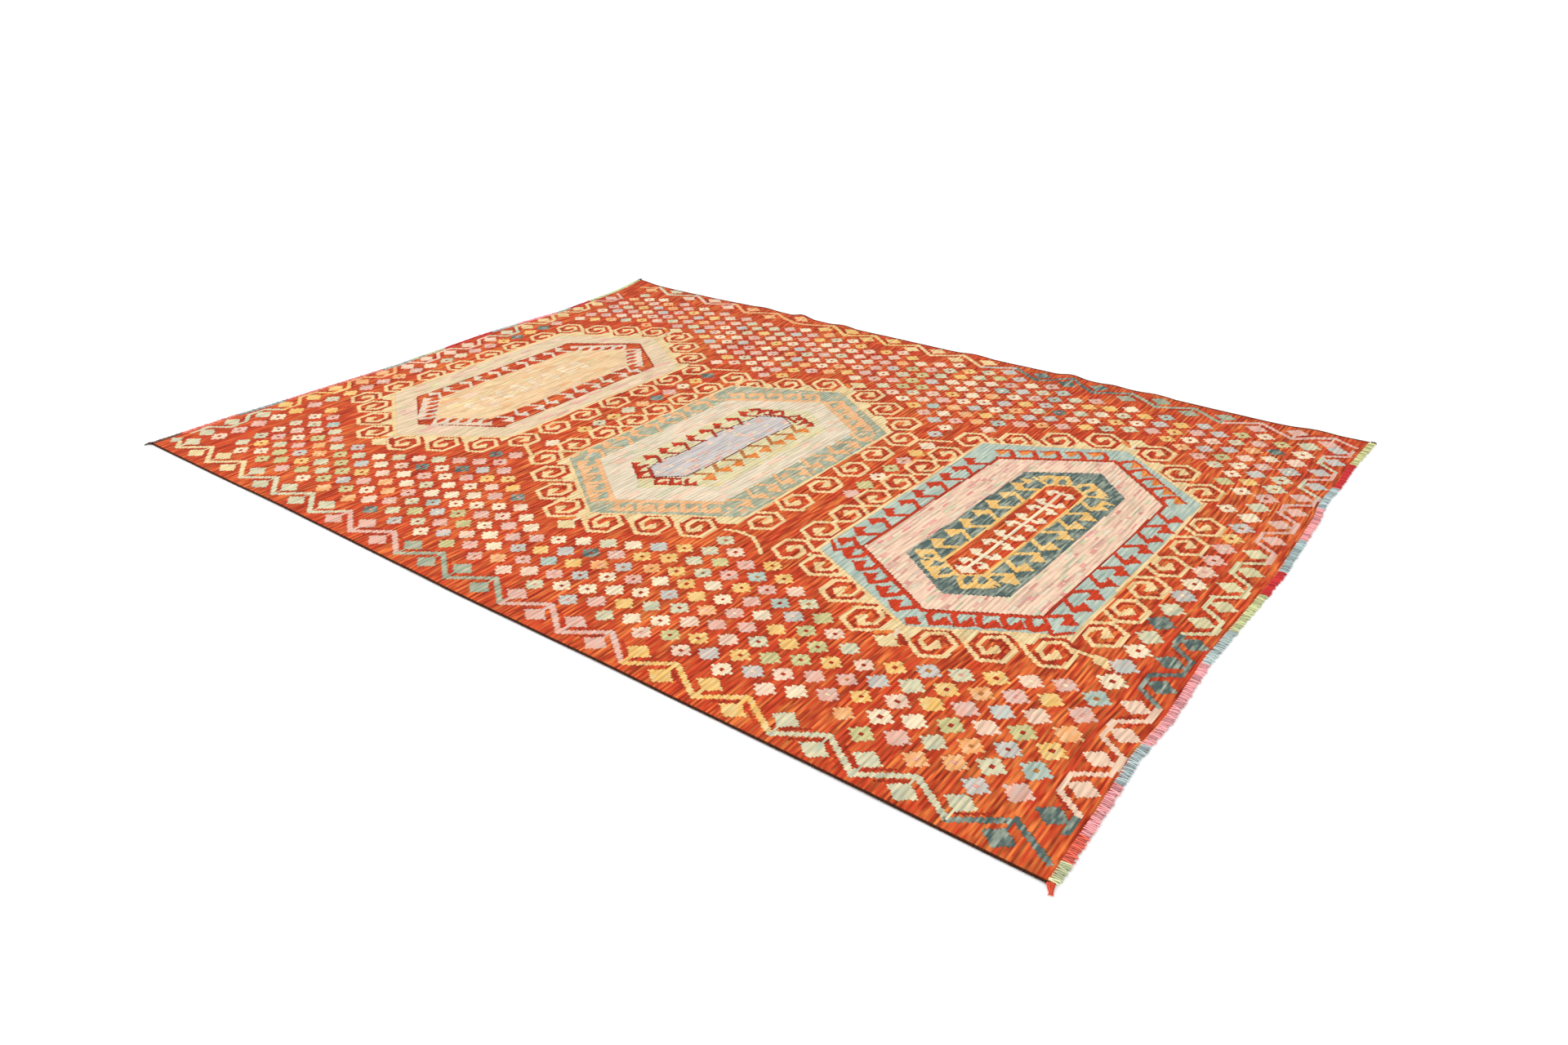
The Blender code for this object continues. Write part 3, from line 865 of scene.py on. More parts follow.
@dataclass(frozen=True)
class MeanderBorder:
    """The meander along a short end: uprights joined by slants, with a diamond beside each upright."""

    start: float
    end: float
    periods: int
    # x of the outer and of the inner uprights, each at the near and at the far long side
    outer: Point
    inner: Point
    outward: int
    lines: Runs
    diamonds: Runs
    last_upright: float = 0.0

    def weave(self, cells: Cells) -> None:
        """Weaves the line, its red dashes and its diamonds."""
        step = (self.end - self.start) / self.periods
        corners: Points = []
        jewels: Points = []
        for k in range(self.periods + 1):
            y = self.start + k * step
            out = self.outer[0] + (self.outer[1] - self.outer[0]) * y / PLAN_WIDTH + cells.luck.uniform(-4, 4)
            rise = step * 0.30 if k < self.periods else self.last_upright
            corners += [(out, y), (out, y + rise)]
            if rise > 0:
                jewels.append((out - self.outward * 42, y + rise / 2))
            if k < self.periods:
                back = self.inner[0] + (self.inner[1] - self.inner[0]) * y / PLAN_WIDTH
                corners += [(back, y + step * 0.5), (back, y + step * 0.8)]
                jewels.append((back + self.outward * 40, y + step * 0.65))
        for a, b in zip(corners, corners[1:]):
            cells.stroke([a, b], 15, run_of(self.lines, (a[1] + b[1]) / 2))
        for a, b in zip(corners[1::2], corners[2::2]):
            for start, other in ((a, b), (b, a)):
                dash(cells, start, other, (DASH_ASIDE if other[0] > start[0] else -DASH_ASIDE, 0))
        for x, y in jewels:
            cells.lozenge(x, y, 80, BORDER_DIAMOND, run_of(self.diamonds, y))


class Borders:
    """The four borders, each with the runs of wool that the weaver used up one after another."""

    near = ZigzagBorder(
        30, 108, ((118, 942, 8, True), (942, 1041, 1, True), (1041, 3335, 20, False)),
        ((118, CELADON), (520, STRAW), (1026, CELADON), (1361, PINK), (1800, TEAL), (2268, PINK),
         (2724, YELLOW), (3225, CELADON), (3500, SLATE)),
        ([(78, 62), (118, 30)], [(3335, 112), (3442, 42)]))
    far = ZigzagBorder(
        2372, 2452,
        ((190, 920, 6, False), (920, 1240, 2, False), (1240, 1905, 6, False), (1905, 3365, 12, False)),
        ((230, PEACH), (430, CELADON), (700, BLUSH), (1180, PEACH), (1640, YELLOW), (2060, BUTTER),
         (2210, MIST), (2600, SLATE), (3040, TEAL), (3500, PINK)),
        ([(3365, 2460), (3442, 2420)], [(190, 2440), (110, 2396)]))
    right = MeanderBorder(
        134, 2332, 10, (3432, 3440), (3368, 3374), 1,
        ((210, SLATE), (624, BLUSH), (980, SLATE), (1465, PISTACHIO), (1936, PINK), (2045, CELADON),
         (2154, PINK), (2290, CELADON), (2500, PINK)),
        ((210, SLATE), (624, BLUSH), (1030, SLATE), (1500, PISTACHIO), (1930, PINK), (2400, MIST),
         (2500, PINK)), 54)
    left_runs = ((430, CELADON), (760, YELLOW), (1000, PEACH), (1450, BLUSH), (1640, CELADON), (2100, BUTTER),
                 (2500, PINK))
    left = MeanderBorder(129, 2250, 10, (36, 98), (98, 172), -1, left_runs, left_runs)

    def weave(self, cells: Cells) -> None:
        """Weaves the long sides first, then the ends over them."""
        for border in (self.near, self.far, self.right, self.left):
            border.weave(cells)
        cells.lozenge(52, 62, 56, 48, CELADON)


@dataclass(frozen=True)
class StarColumn:
    """One column of stars from a first height on, some of them joined to the last by a dark square."""

    x: float
    start: float
    end: float
    pitch: float
    wide: float
    high: float
    lean: float = 0.0
    snug: bool = False
    yarns: Shares = STAR_YARNS

    def weave(self, cells: Cells) -> None:
        """Weaves a star wherever the ground is free."""
        yarns, shares = zip(*self.yarns)
        chances = np.array(shares) / sum(shares)
        last: Point | None = None
        for step in range(int(abs((self.end - self.start) / self.pitch)) + 1):
            x = self.x + self.lean * step * self.pitch + cells.luck.uniform(-2, 2)
            y = self.start + step * self.pitch + cells.luck.uniform(-3, 3)
            if not cells.free(x, y, self.snug):
                continue
            size = cells.luck.uniform(0.95, 1.03)
            yarn = int(cells.luck.choice(yarns, p=chances))
            cells.star(x, y, yarn, self.wide * size, self.high * size * 0.96)
            beside = last is not None and abs(y - last[1]) < 1.4 * abs(self.pitch)
            if beside and cells.luck.random() < JOINED_STARS:
                x_mid, y_mid = (x + last[0]) / 2, (y + last[1]) / 2
                near = cells.window([(x_mid, y_mid)], 10)
                spot = (np.abs(cells.x[near] - x_mid) < 4.5) & (np.abs(cells.y[near] - y_mid) < 6)
                cells.weave(near, spot, DARK_RED)
            last = (x, y)


class StarField:
    """The stars that fill the ground: single columns between the medallions and two fields at the sides."""

    single = (StarColumn(150, 92, 1760, 75.5, 66, 64, 0.024, True),
              StarColumn(3302, 190, 2380, 79.5, 76, 70, 0.005, True),
              StarColumn(1172, 762, 1690, 74.5, 64, 62, 0.012, True),
              StarColumn(2236, 745, 1600, 76, 66, 63, 0.014, True))

    def near_columns(self) -> list[StarColumn]:
        """Sets the near field out: its columns widen from the far-left end to the near-right one."""
        made = []
        for k in range(1, 48):
            if k <= 25:
                x, wide, high = 138 + 62.9 * k, 60, 56
            elif k <= 42:
                x, wide, high = 1710 + 67.4 * (k - 25), 64, 58
            else:
                x, wide, high = 2859 + 72.2 * (k - 42), 72, 63
            start, pitch = 190 if k % 2 == 0 else 153, 71.5 if k < 37 else 73.0
            made.append(StarColumn(x, start, 760, pitch, wide, high))
        return made

    def far_columns(self) -> list[StarColumn]:
        """Sets the far field out, from the far border towards the medallions."""
        made = []
        for k in range(48):
            if k <= 25:
                x, wide, yarns = 160 + 63.4 * k, 61, WARM_STAR_YARNS
            else:
                x, wide, yarns = 1745 + 67.6 * (k - 25), 65, STAR_YARNS
            if x < 3260:
                made.append(StarColumn(x, 2338 if k % 2 == 0 else 2302, 1640, -72.5, wide, 58, yarns=yarns))
        return made

    def weave(self, cells: Cells) -> None:
        """Weaves every column."""
        for column in (*self.single, *self.near_columns(), *self.far_columns()):
            column.weave(cells)


# ---------------------------------------------------------------- finishes


@dataclass(frozen=True)
class WoolTapestry:
    """Weft-faced wool, hand spun and matt: ribs over the warps, beads of weft, and picks that vary in colour;
    the relief's light and shade are also painted into the colour.

    The colour of each cell is packed in the faces of the cloth, 6 cells along by 4 across in each face.
    """

    columns: int
    rows: int
    along: int = 6
    across: int = 4
    colours: int = 32             # places on the colour ramps, of which each wool takes one
    # cells to one weft pick drawn, 6 mm: three or four real ones, or it would not show
    picks: float = 2.0
    # cells between two grooves drawn, 15 mm, as coarse as the photograph shows them
    grooves: float = 5.0
    # runs of one shade over the rug's width, each about 150 mm long in the ground and 75 mm in the others
    ground_runs: float = 17.0
    other_runs: float = 34.0
    depth_runs: float = 15.0      # scale over the rug's width of the chance that a pick lies lower
    batches: Point = (9.0, 2.2)   # batches of dye over the length and over the width
    rib_height: float = 0.0007    # metres from the valley between two warps to the top of a rib
    dark_wool: str = "A82E18"

    def bit(self, packed: Value, i: Value, j: Value) -> Value:
        """Reads one cell's bit from a number packed in a face.

        Args:
            packed: the number, which holds 24 bits.
            i: the cell's place along the face.
            j: the cell's place across the face.

        Returns:
            0 or 1.
        """
        row = 2.0 ** self.along
        return (((packed / j.power_of(row)).floor() % row) / i.power_of(2.0)).floor() % 2.0

    def yarn_number(self, tree: Tree, i: Value, j: Value) -> Value:
        """Reads a cell's yarn: its low four bits from the face's row and the fifth from its high bits."""
        picked = attribute(tree, "row0")
        for k in range(1, self.across):
            picked = picked.mixed(j.math("GREATER_THAN", k - 0.5), attribute(tree, f"row{k}"))
        digit = (picked / i.power_of(16.0)).floor() % 16.0
        return self.bit(attribute(tree, "high"), i, j) * 16.0 + digit

    def material(self) -> bpy.types.Material:
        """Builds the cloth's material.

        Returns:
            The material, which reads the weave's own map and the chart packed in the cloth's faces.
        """
        made = principled("wool_tapestry", {
            "Roughness": 0.92, "Specular IOR Level": 0.06, "Sheen Weight": 0.02, "Sheen Roughness": 0.55})
        tree = made.node_tree
        parts = add(tree, "ShaderNodeSeparateXYZ", {0: add(tree, "ShaderNodeUVMap", uv_map="weave")})
        u, v = Value(tree, parts.outputs["X"]), Value(tree, parts.outputs["Y"])
        a, b = u * float(self.columns), v * float(self.rows)
        row = b.floor()
        i, j = a.floor() % float(self.along), row % float(self.across)
        number = self.yarn_number(tree, i, j)
        ground = number.math("LESS_THAN", 0.5)

        def chance(x: Value, y: Value, layer: float, scale: float, detail: float,
                   roughness: float = 0.5) -> Value:
            spot = add(tree, "ShaderNodeCombineXYZ", {0: x, 1: y, 2: layer})
            return noise(tree, spot, scale, detail, roughness)

        # streaks: a pick of weft keeps its shade for a run, and bundles of three picks change together
        whole = (a / self.picks).floor()
        apart = whole * 1.731
        run = v * (ground * (self.ground_runs - self.other_runs) + self.other_runs)
        streak = chance(apart, run, 0.0, 1.0, 2.0, 0.6).mixed(0.25, chance(whole * 0.33, run, 3.0, 1.0, 1.0))
        # abrash: a batch of dye lasts 100 to 400 mm along the rug
        batch = chance(u * self.batches[0], v * self.batches[1], 0.0, 1.0, 3.0, 0.55)
        share = (streak + (batch * 0.35 - 0.185) * ground).spread(0.45, 0.61)
        at = number * (1 / self.colours) + 0.5 / self.colours
        body, streaks = (banded(tree, at, [(yarn / self.colours, getattr(yarn, part)) for yarn in Yarn])
                         for part in ("body", "streak"))
        colour = blended(tree, share, body, streaks)
        # the odd pick of the ground is spun from darker wool
        deep = chance(whole * 1.37 + 40.0, run, 7.0, 1.3, 2.0).spread(0.50, 0.60, 0.0, 0.85) * ground
        colour = blended(tree, deep, colour, dye(self.dark_wool))
        # relief: low ribs over the warps, and beads of weft whose picks lie as long ridges across the rug
        rib = b.humps() * 0.45 + 0.55
        bead = ((row % 2.0) * 0.14 + a / self.grooves).humps() * 0.94 + 0.06
        # each pick also lies higher or lower than the next, by its own chance, and keeps so for 50 to 100 mm
        sunk = chance(apart, v * self.depth_runs, 9.0, 1.7, 1.0).spread(0.36, 0.56, 0.60, -0.08)
        # slits: the shadow in the gap beside a warp where two colours meet
        slit = self.bit(attribute(tree, "slits"), i, j) * b.math("FRACT").spread(0.50, 0.25)
        relief = (rib * bead).math("POWER", 0.7) - sunk - slit
        # the relief is also painted into the colour: painted shade in the grooves, the slits and the lower
        # picks, and a painted highlight on the ridges; over every wool but the ground this painted light and
        # shade is pulled 40 per cent of the way towards an even level
        tone = relief.spread(-1.0, 1.0, 0.05, 1.18).mixed(ground * -0.40 + 0.40, 0.9)
        cover(made, shaded(tree, colour, tone), relief, 0.7, self.rib_height)
        return made


@dataclass(frozen=True)
class LooseWool:
    """Soft-spun wool yarn on the edges: matt and fuzzy, with a painted highlight where the fibres of its bump
    stand up.
    """

    name: str
    # where each run of colour ends along the rug's width, in metres from the near long side, and its colour
    runs: tuple[tuple[float, str], ...]
    variation: float = 0.25
    span: float = 2.6             # metres that the runs' colour ramp covers

    def material(self) -> bpy.types.Material:
        """Builds the yarn's material. The attribute place says where a stitch sits, and tone how light or
        dark it is: its own tone on the stitches, a painted shade on the cores.
        """
        made = principled(self.name, {"Roughness": 0.95, "Specular IOR Level": 0.08, "Sheen Weight": 0.04})
        tree = made.node_tree
        starts = (0.0, *(end for end, _ in self.runs[:-1]))
        stops = [(start / self.span, code) for start, (_, code) in zip(starts, self.runs)]
        colour = banded(tree, attribute(tree, "place") * (1 / self.span), stops)
        fibre = noise(tree, add(tree, "ShaderNodeTexCoord").outputs["Object"], 420.0, 3.0, 0.7)
        # the fibre noise that bumps the yarn also lightens its colour where it stands up: a painted
        # highlight, added to each stitch's own tone
        both = fibre * 0.8 + attribute(tree, "tone")
        tone_and_painted_light = both.spread(0.2, 1.4, 1 - self.variation, 1 + self.variation)
        cover(made, shaded(tree, colour, tone_and_painted_light), fibre, 0.5, 0.0004)
        return made


# ---------------------------------------------------------------- stitches in Geometry Nodes


class StitchTree:
    """A Geometry Nodes tree for one kind of stitch, built in the script and used up into plain meshes."""

    def __init__(self, name: str, sizes: dict[str, tuple[str, Any]]) -> None:
        """Makes an empty tree with its inputs.

        Args:
            name: the tree's name.
            sizes: for each named input its socket type and default.
        """
        self.tree = bpy.data.node_groups.new(name, "GeometryNodeTree")
        face = self.tree.interface
        face.new_socket("Geometry", in_out="INPUT", socket_type="NodeSocketGeometry")
        objects = {"Core": ("NodeSocketObject", None), "Material": ("NodeSocketMaterial", None)}
        for title, (kind, default) in {**sizes, **objects}.items():
            socket = face.new_socket(title, in_out="INPUT", socket_type=kind)
            if default is not None:
                socket.default_value = default
        face.new_socket("Geometry", in_out="OUTPUT", socket_type="NodeSocketGeometry")
        self.given = self.tree.nodes.new("NodeGroupInput").outputs

    def close(self, geometry: Node) -> None:
        """Ends the tree: realised, joined to the core that the yarn is wound on, and given its material."""
        real = add(self.tree, "GeometryNodeRealizeInstances", {0: geometry})
        core = add(self.tree, "GeometryNodeObjectInfo", {"Object": self.given["Core"]})
        both = self.tree.nodes.new("GeometryNodeJoinGeometry")
        self.tree.links.new(real.outputs[0], both.inputs[0])
        self.tree.links.new(core.outputs["Geometry"], both.inputs[0])
        smooth = add(self.tree, "GeometryNodeSetShadeSmooth", {0: both})
        dressed = add(self.tree, "GeometryNodeSetMaterial", {0: smooth, "Material": self.given["Material"]})
        add(self.tree, "NodeGroupOutput", {0: dressed})

    def make(self, name: str, guide: bpy.types.Object, core: bpy.types.Object,
             values: dict[str, Any]) -> bpy.types.Object:
        """Runs the tree on a guide and keeps the plain mesh.

        Args:
            name: the finished piece's name.
            guide: the points or lines that the stitches follow.
            core: what the yarn is wound on.
            values: the tree's inputs by name.

        Returns:
            The finished object, at the origin.
        """
        modifier = guide.modifiers.new("stitches", "NODES")
        modifier.node_group = self.tree
        given = {**values, "Core": core}
        for item in self.tree.interface.items_tree:
            if item.in_out == "INPUT" and item.name in given:
                modifier[item.identifier] = given[item.name]
        bpy.context.view_layer.update()
        evaluated = guide.evaluated_get(bpy.context.evaluated_depsgraph_get())
        mesh = bpy.data.meshes.new_from_object(evaluated)
        mesh.name = name
        guide.modifiers.remove(modifier)
        for used in (guide, core):
            bpy.data.objects.remove(used)
        made = bpy.data.objects.new(name, mesh)
        bpy.context.scene.collection.objects.link(made)
        return made


class TurnTree(StitchTree):
    """Turns of yarn: one closed loop on each point of the guide, turned and sized as the point says."""

    def __init__(self) -> None:
        """Builds the tree."""
        super().__init__("turns_of_yarn", {
            "Half section": ("NodeSocketVector", (0.004, 0.002, 1.0)),
            "Yarn radius": ("NodeSocketFloat", 0.001), "Flatness": ("NodeSocketFloat", 2.0),
            "Lean": ("NodeSocketFloat", 0.06),
            "Segments": ("NodeSocketInt", 10), "Seed": ("NodeSocketInt", 3)})
        tree, given = self.tree, self.given

        def transformed(geometry: Node, **change: Any) -> Node:
            return add(tree, "GeometryNodeTransform", {"Geometry": geometry, **change})

        def on_point(name: str) -> Node:
            return add(tree, "GeometryNodeInputNamedAttribute", {"Name": name}, data_type="FLOAT_VECTOR")

        def circle(sides: Any, radius: Any) -> Node:
            return add(tree, "GeometryNodeCurvePrimitiveCircle", {"Resolution": sides, "Radius": radius})

        loop = transformed(circle(given["Segments"], 1.0), Scale=given["Half section"])
        yarn = circle(4, given["Yarn radius"])
        ring = add(tree, "GeometryNodeCurveToMesh", {"Curve": loop, "Profile Curve": yarn})
        wide = add(tree, "ShaderNodeCombineXYZ", {0: 1.0, 1: 1.0, 2: given["Flatness"]})
        ring = transformed(ring, Scale=wide)
        # the loop stands across the x axis of its point
        ring = transformed(ring, Rotation=(math.pi / 2, 0.0, math.pi / 2))
        points = add(tree, "GeometryNodeMeshToPoints", {"Mesh": given["Geometry"]})
        less = Value(tree, given["Lean"]) * -1.0
        low = add(tree, "ShaderNodeCombineXYZ", {0: 0.0, 1: less, 2: less})
        high = add(tree, "ShaderNodeCombineXYZ", {0: 0.0, 1: given["Lean"], 2: given["Lean"]})
        lean = add(tree, "FunctionNodeRandomValue", {0: low, 1: high, "Seed": given["Seed"]},
                   data_type="FLOAT_VECTOR")
        turned = add(tree, "ShaderNodeVectorMath", {0: on_point("turn"), 1: lean}, operation="ADD")
        self.close(add(tree, "GeometryNodeInstanceOnPoints", {
            "Points": points, "Instance": ring, "Rotation": turned, "Scale": on_point("size")}))


class StrandTree(StitchTree):
    """Loose strands: round yarn along each line of the guide, thinning as the guide's radius says."""

    def __init__(self) -> None:
        """Builds the tree."""
        super().__init__("loose_strands", {
            "Yarn radius": ("NodeSocketFloat", 0.0006), "Sides": ("NodeSocketInt", 5)})
        line = add(self.tree, "GeometryNodeMeshToCurve", {"Mesh": self.given["Geometry"]})
        thin = add(self.tree, "GeometryNodeInputNamedAttribute", {"Name": "thinning"}, data_type="FLOAT")
        line = add(self.tree, "GeometryNodeSetCurveRadius", {"Curve": line, "Radius": thin})
        yarn = add(self.tree, "GeometryNodeCurvePrimitiveCircle", {
            "Resolution": self.given["Sides"], "Radius": self.given["Yarn radius"]})
        self.close(add(self.tree, "GeometryNodeCurveToMesh", {
            "Curve": line, "Profile Curve": yarn, "Fill Caps": True}))


def helper(name: str, points: np.ndarray, edges: list[tuple[int, int]], faces: list[tuple[int, ...]],
           **facts: np.ndarray) -> bpy.types.Object:
    """Makes a helper object that a stitch tree reads.

    Args:
        name: its name.
        points: its points, one row each.
        edges: pairs of points.
        faces: loops of points, facing outwards.
        facts: an attribute of each point, one number or three.

    Returns:
        The object.
    """
    mesh = bpy.data.meshes.new(name)
    mesh.from_pydata(points.tolist(), edges, faces)
    for title, values in facts.items():
        kind, slot = ("FLOAT", "value") if values.ndim == 1 else ("FLOAT_VECTOR", "vector")
        mesh.attributes.new(title, kind, "POINT").data.foreach_set(slot, values.astype(np.float32).ravel())
    made = bpy.data.objects.new(name, mesh)
    bpy.context.scene.collection.objects.link(made)
    return made


def core_along(name: str, line: np.ndarray, half_width: float, half_height: float,
               across: tuple[int, int]) -> bpy.types.Object:
    """Sweeps a closed six-sided core along a line, for yarn to be wound on.

    Args:
        name: its name.
        line: the line's points.
        half_width: half its width on the floor.
        half_height: half its height.
        across: the direction of its width, as signs on x and y, that keeps its faces outwards.

    Returns:
        The core, whose attribute place is that of the stitches on it; its tone, darker than theirs, is a
        painted shade for the gaps between the turns.
    """
    ring = [(math.cos(k * math.pi / 3), math.sin(k * math.pi / 3)) for k in range(6)]
    points = np.array([[x + across[0] * c * half_width, y + across[1] * c * half_width, z + s * half_height]
                       for x, y, z in line for c, s in ring])
    faces: list[tuple[int, ...]] = [tuple(range(6)), tuple(range(len(points) - 1, len(points) - 7, -1))]
    for k in range(len(line) - 1):
        for s in range(6):
            t = (s + 1) % 6
            faces.append((6 * k + s, 6 * k + 6 + s, 6 * k + 6 + t, 6 * k + t))
    place = points[:, 1] + FORM.width / 2
    # the core's tone of -0.6 darkens it: painted shade where it shows in the gaps between the turns of yarn
    return helper(name, points, [], faces, place=place, tone=np.full(len(points), -0.6))


# ---------------------------------------------------------------- pieces


@dataclass
class Cloth:
    """The one woven cloth: both faces, with the weaving chart packed into them."""

    faces_along: int = 192
    faces_across: int = 195
    finish: WoolTapestry = field(default_factory=lambda: WoolTapestry(1152, 780))
    sewn_on: list[bpy.types.Object] = field(default_factory=list)

    def chart(self) -> Cells:
        """Weaves the chart: medallions, borders, then stars where the ground is free."""
        cells = Cells(self.finish.columns, self.finish.rows)
        for part in (MedallionField(), Borders(), StarField()):
            part.weave(cells)
        return cells

    def packed(self, cells: Cells) -> dict[str, np.ndarray]:
        """Packs the chart into numbers for the faces.

        Args:
            cells: the woven chart.

        Returns:
            For each attribute one number to a face, under 2 to the 24th so that a float holds it exactly.
        """
        tall, wide = self.finish.along, self.finish.across
        shape = (self.faces_along, tall, self.faces_across, wide)
        yarn, slits = (cells_of.astype(np.int64).reshape(shape).transpose(0, 2, 3, 1)
                       for cells_of in (cells.yarn, cells.slits()))
        rows = ((yarn & 15) << (4 * np.arange(tall))).sum(-1)
        bits = np.arange(wide * tall).reshape(wide, tall)
        made = {f"row{k}": rows[:, :, k].ravel() for k in range(wide)}
        made["high"] = ((yarn >> 4) << bits).sum((2, 3)).ravel()
        made["slits"] = (slits << bits).sum((2, 3)).ravel()
        return made

    def build(self) -> bpy.types.Object:
        """Builds and dresses the cloth.

        Returns:
            The finished piece.
        """
        along, across = self.faces_along, self.faces_across
        u, v = np.meshgrid(np.arange(along + 1) / along, np.arange(across + 1) / across, indexing="ij")
        x, y = FORM.cloth_at(u, v)
        z = FORM.lying(u, v)
        layer = (along + 1) * (across + 1)
        points = np.concatenate([np.stack([x, y, z + rise], -1).reshape(-1, 3)
                                 for rise in (FORM.cloth_thickness, 0.0)])
        at = np.arange(layer).reshape(along + 1, across + 1)
        a, b, c, d = (p.ravel() for p in (at[:-1, :-1], at[1:, :-1], at[1:, 1:], at[:-1, 1:]))
        top, under = np.stack([a, b, c, d], -1), np.stack([a, d, c, b], -1) + layer
        loop = np.concatenate([at[:-1, 0], at[-1, :-1], at[:0:-1, -1], at[0, :0:-1]])
        after = np.roll(loop, -1)
        rim = np.stack([loop, loop + layer, after + layer, after], -1)
        faces = np.concatenate([top, under, rim])
        mesh = bpy.data.meshes.new("kilim_cloth")
        mesh.from_pydata(points.tolist(), [], faces.tolist())
        corners = faces.ravel() % layer
        weave = np.stack([u.ravel()[corners], v.ravel()[corners]], -1)
        # the baked map has a strip for the top, a low one for the underside and a thin one for the rim
        baked = weave * (1.0, 0.73) + (0.0, 0.27)
        baked[top.size:2 * top.size] = weave[top.size:2 * top.size] * (1.0, 0.25)
        baked[2 * top.size:] = weave[2 * top.size:] * (1.0, 0.01) + (0.0, 0.255)
        for name, places in (("weave", weave), ("OFBake", baked)):
            mesh.uv_layers.new(name=name).data.foreach_set("uv", places.astype(np.float32).ravel())
        for name, values in self.packed(self.chart()).items():
            both = np.concatenate([values, values, np.zeros(len(rim))]).astype(np.float32)
            mesh.attributes.new(name, "FLOAT", "FACE").data.foreach_set("value", both)
        mesh.polygons.foreach_set("use_smooth", np.ones(len(mesh.polygons), bool))
        mesh.set_sharp_from_angle(angle=math.radians(50))
        mesh.materials.append(self.finish.material())
        made = bpy.data.objects.new("kilim_cloth", mesh)
        bpy.context.scene.collection.objects.link(made)
        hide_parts("woven_ground")
        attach(made, "root")
        return made


class LongSide(Enum):
    """A long side: the share of the width that it lies at."""

    NEAR = 0.0
    FAR = 1.0


class ShortEnd(Enum):
    """A short end: the share of the length that it lies at."""

    LEFT = 0.0
    RIGHT = 1.0


@dataclass
class Overcasting:
    """The dark overcasting round a long side: slanted turns of thick yarn on a core."""

    side: LongSide
    tree: TurnTree
    wool: bpy.types.Material
    pitch: float = 0.0046
    yarn_radius: float = 0.0009
    flatness: float = 2.3
    slant: float = 0.42
    wool_shift: float = 1.3       # puts the near side in the wool's first run and the far side in its second

    def build(self) -> bpy.types.Object:
        """Builds one side.

        Returns:
            The finished piece, which replaces the side's solid.
        """
        name = self.side.name.lower()
        out = -1 if self.side is LongSide.NEAR else 1
        count = int(FORM.length / self.pitch)
        luck = np.random.default_rng(11 + out)
        u = (np.arange(count) + 0.5) / count
        v = np.full(count, self.side.value)
        x, y = FORM.cloth_at(u, v)
        y = y + out * (FORM.seam_gap + FORM.selvedge_width / 2)
        line = np.stack([x, y, FORM.lying(u, v) + FORM.selvedge_height / 2], -1)
        turn = np.stack([np.zeros(count), np.zeros(count), np.full(count, self.slant)], -1)
        size = 1 + luck.uniform(-0.16, 0.06, (count, 3))
        half = (FORM.selvedge_width / 2 - self.yarn_radius, FORM.selvedge_height / 2 - self.yarn_radius, 1.0)
        guide = helper("guide", line, [], [], turn=turn, size=size, place=y + self.wool_shift,
                       tone=luck.uniform(0, 1, count))
        core = core_along("core", line[::6], half[0], half[1], (0, 1))
        made = self.tree.make(f"{name}_overcasting", guide, core, {
            "Half section": half, "Yarn radius": self.yarn_radius, "Flatness": self.flatness, "Lean": 0.10,
            "Segments": 10, "Seed": 5 + out, "Material": self.wool})
        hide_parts(f"selvedge_{name}")
        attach(made, "root")
        return made


@dataclass
class EndWraps:
    """The wool that closes a short end: loops of coloured yarn laid side by side over the warp ends."""

    end: ShortEnd
    tree: TurnTree
    wool: bpy.types.Material
    locks: int = 128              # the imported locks, each of about three loops
    pitch: float = 0.0058
    yarn_radius: float = 0.0012
    flatness: float = 1.9
    onto_cloth: float = 0.006     # how far the loops reach in over the cloth
    past_lock: float = 0.003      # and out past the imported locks
    lift: float = 0.0004          # keeps the most tilted loop off the floor

    def build(self) -> bpy.types.Object:
        """Builds one end.

        Returns:
            The finished piece, which replaces the end's solid.
        """
        name = self.end.name.lower()
        out = -1 if self.end is ShortEnd.LEFT else 1
        count = int(FORM.width / self.pitch)
        luck = np.random.default_rng(23 + out)
        v = (np.arange(count) + 0.5) / count
        u = np.full(count, self.end.value)
        x, y = FORM.cloth_at(u, v)
        # the loops of a lock bunch together, so the row is scalloped
        bunch = np.abs(np.sin(math.pi * v * self.locks)) ** 0.5
        whole = FORM.wrap_length + self.onto_cloth + self.past_lock
        length = whole * (0.93 + 0.07 * bunch) + luck.uniform(-0.0050, 0.0010, count)
        z = FORM.lying(u, v) + FORM.wrap_height / 2 + self.lift
        reach = FORM.seam_gap - self.onto_cloth + length / 2 + luck.uniform(-0.001, 0.001, count)
        line = np.stack([x + out * reach, y, z], -1)
        half = (whole / 2 - self.yarn_radius, FORM.wrap_height / 2 - self.yarn_radius * 0.7, 1.0)
        size = np.stack([1 + luck.uniform(-0.15, 0.15, count), length / whole, 0.95 + 0.10 * bunch], -1)
        turn = np.stack([np.zeros(count), np.zeros(count), np.full(count, math.pi / 2)], -1)
        place = y + FORM.width / 2 + luck.uniform(-0.004, 0.004, count)
        guide = helper("guide", line, [], [], turn=turn, size=size, place=place,
                       tone=luck.uniform(0, 1, count))
        middle = np.stack([x + out * (FORM.seam_gap + FORM.wrap_length * 0.42), y, z], -1)
        core = core_along("core", middle[::6], FORM.wrap_length * 0.38, half[1] * 0.9, (-1, 0))
        made = self.tree.make(f"{name}_end_wraps", guide, core, {
            "Half section": half, "Yarn radius": self.yarn_radius, "Flatness": self.flatness, "Lean": 0.22,
            "Segments": 12, "Seed": 8 + out, "Material": self.wool})
        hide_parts(f"end_wraps_{name}")
        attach(made, "root")
        return made


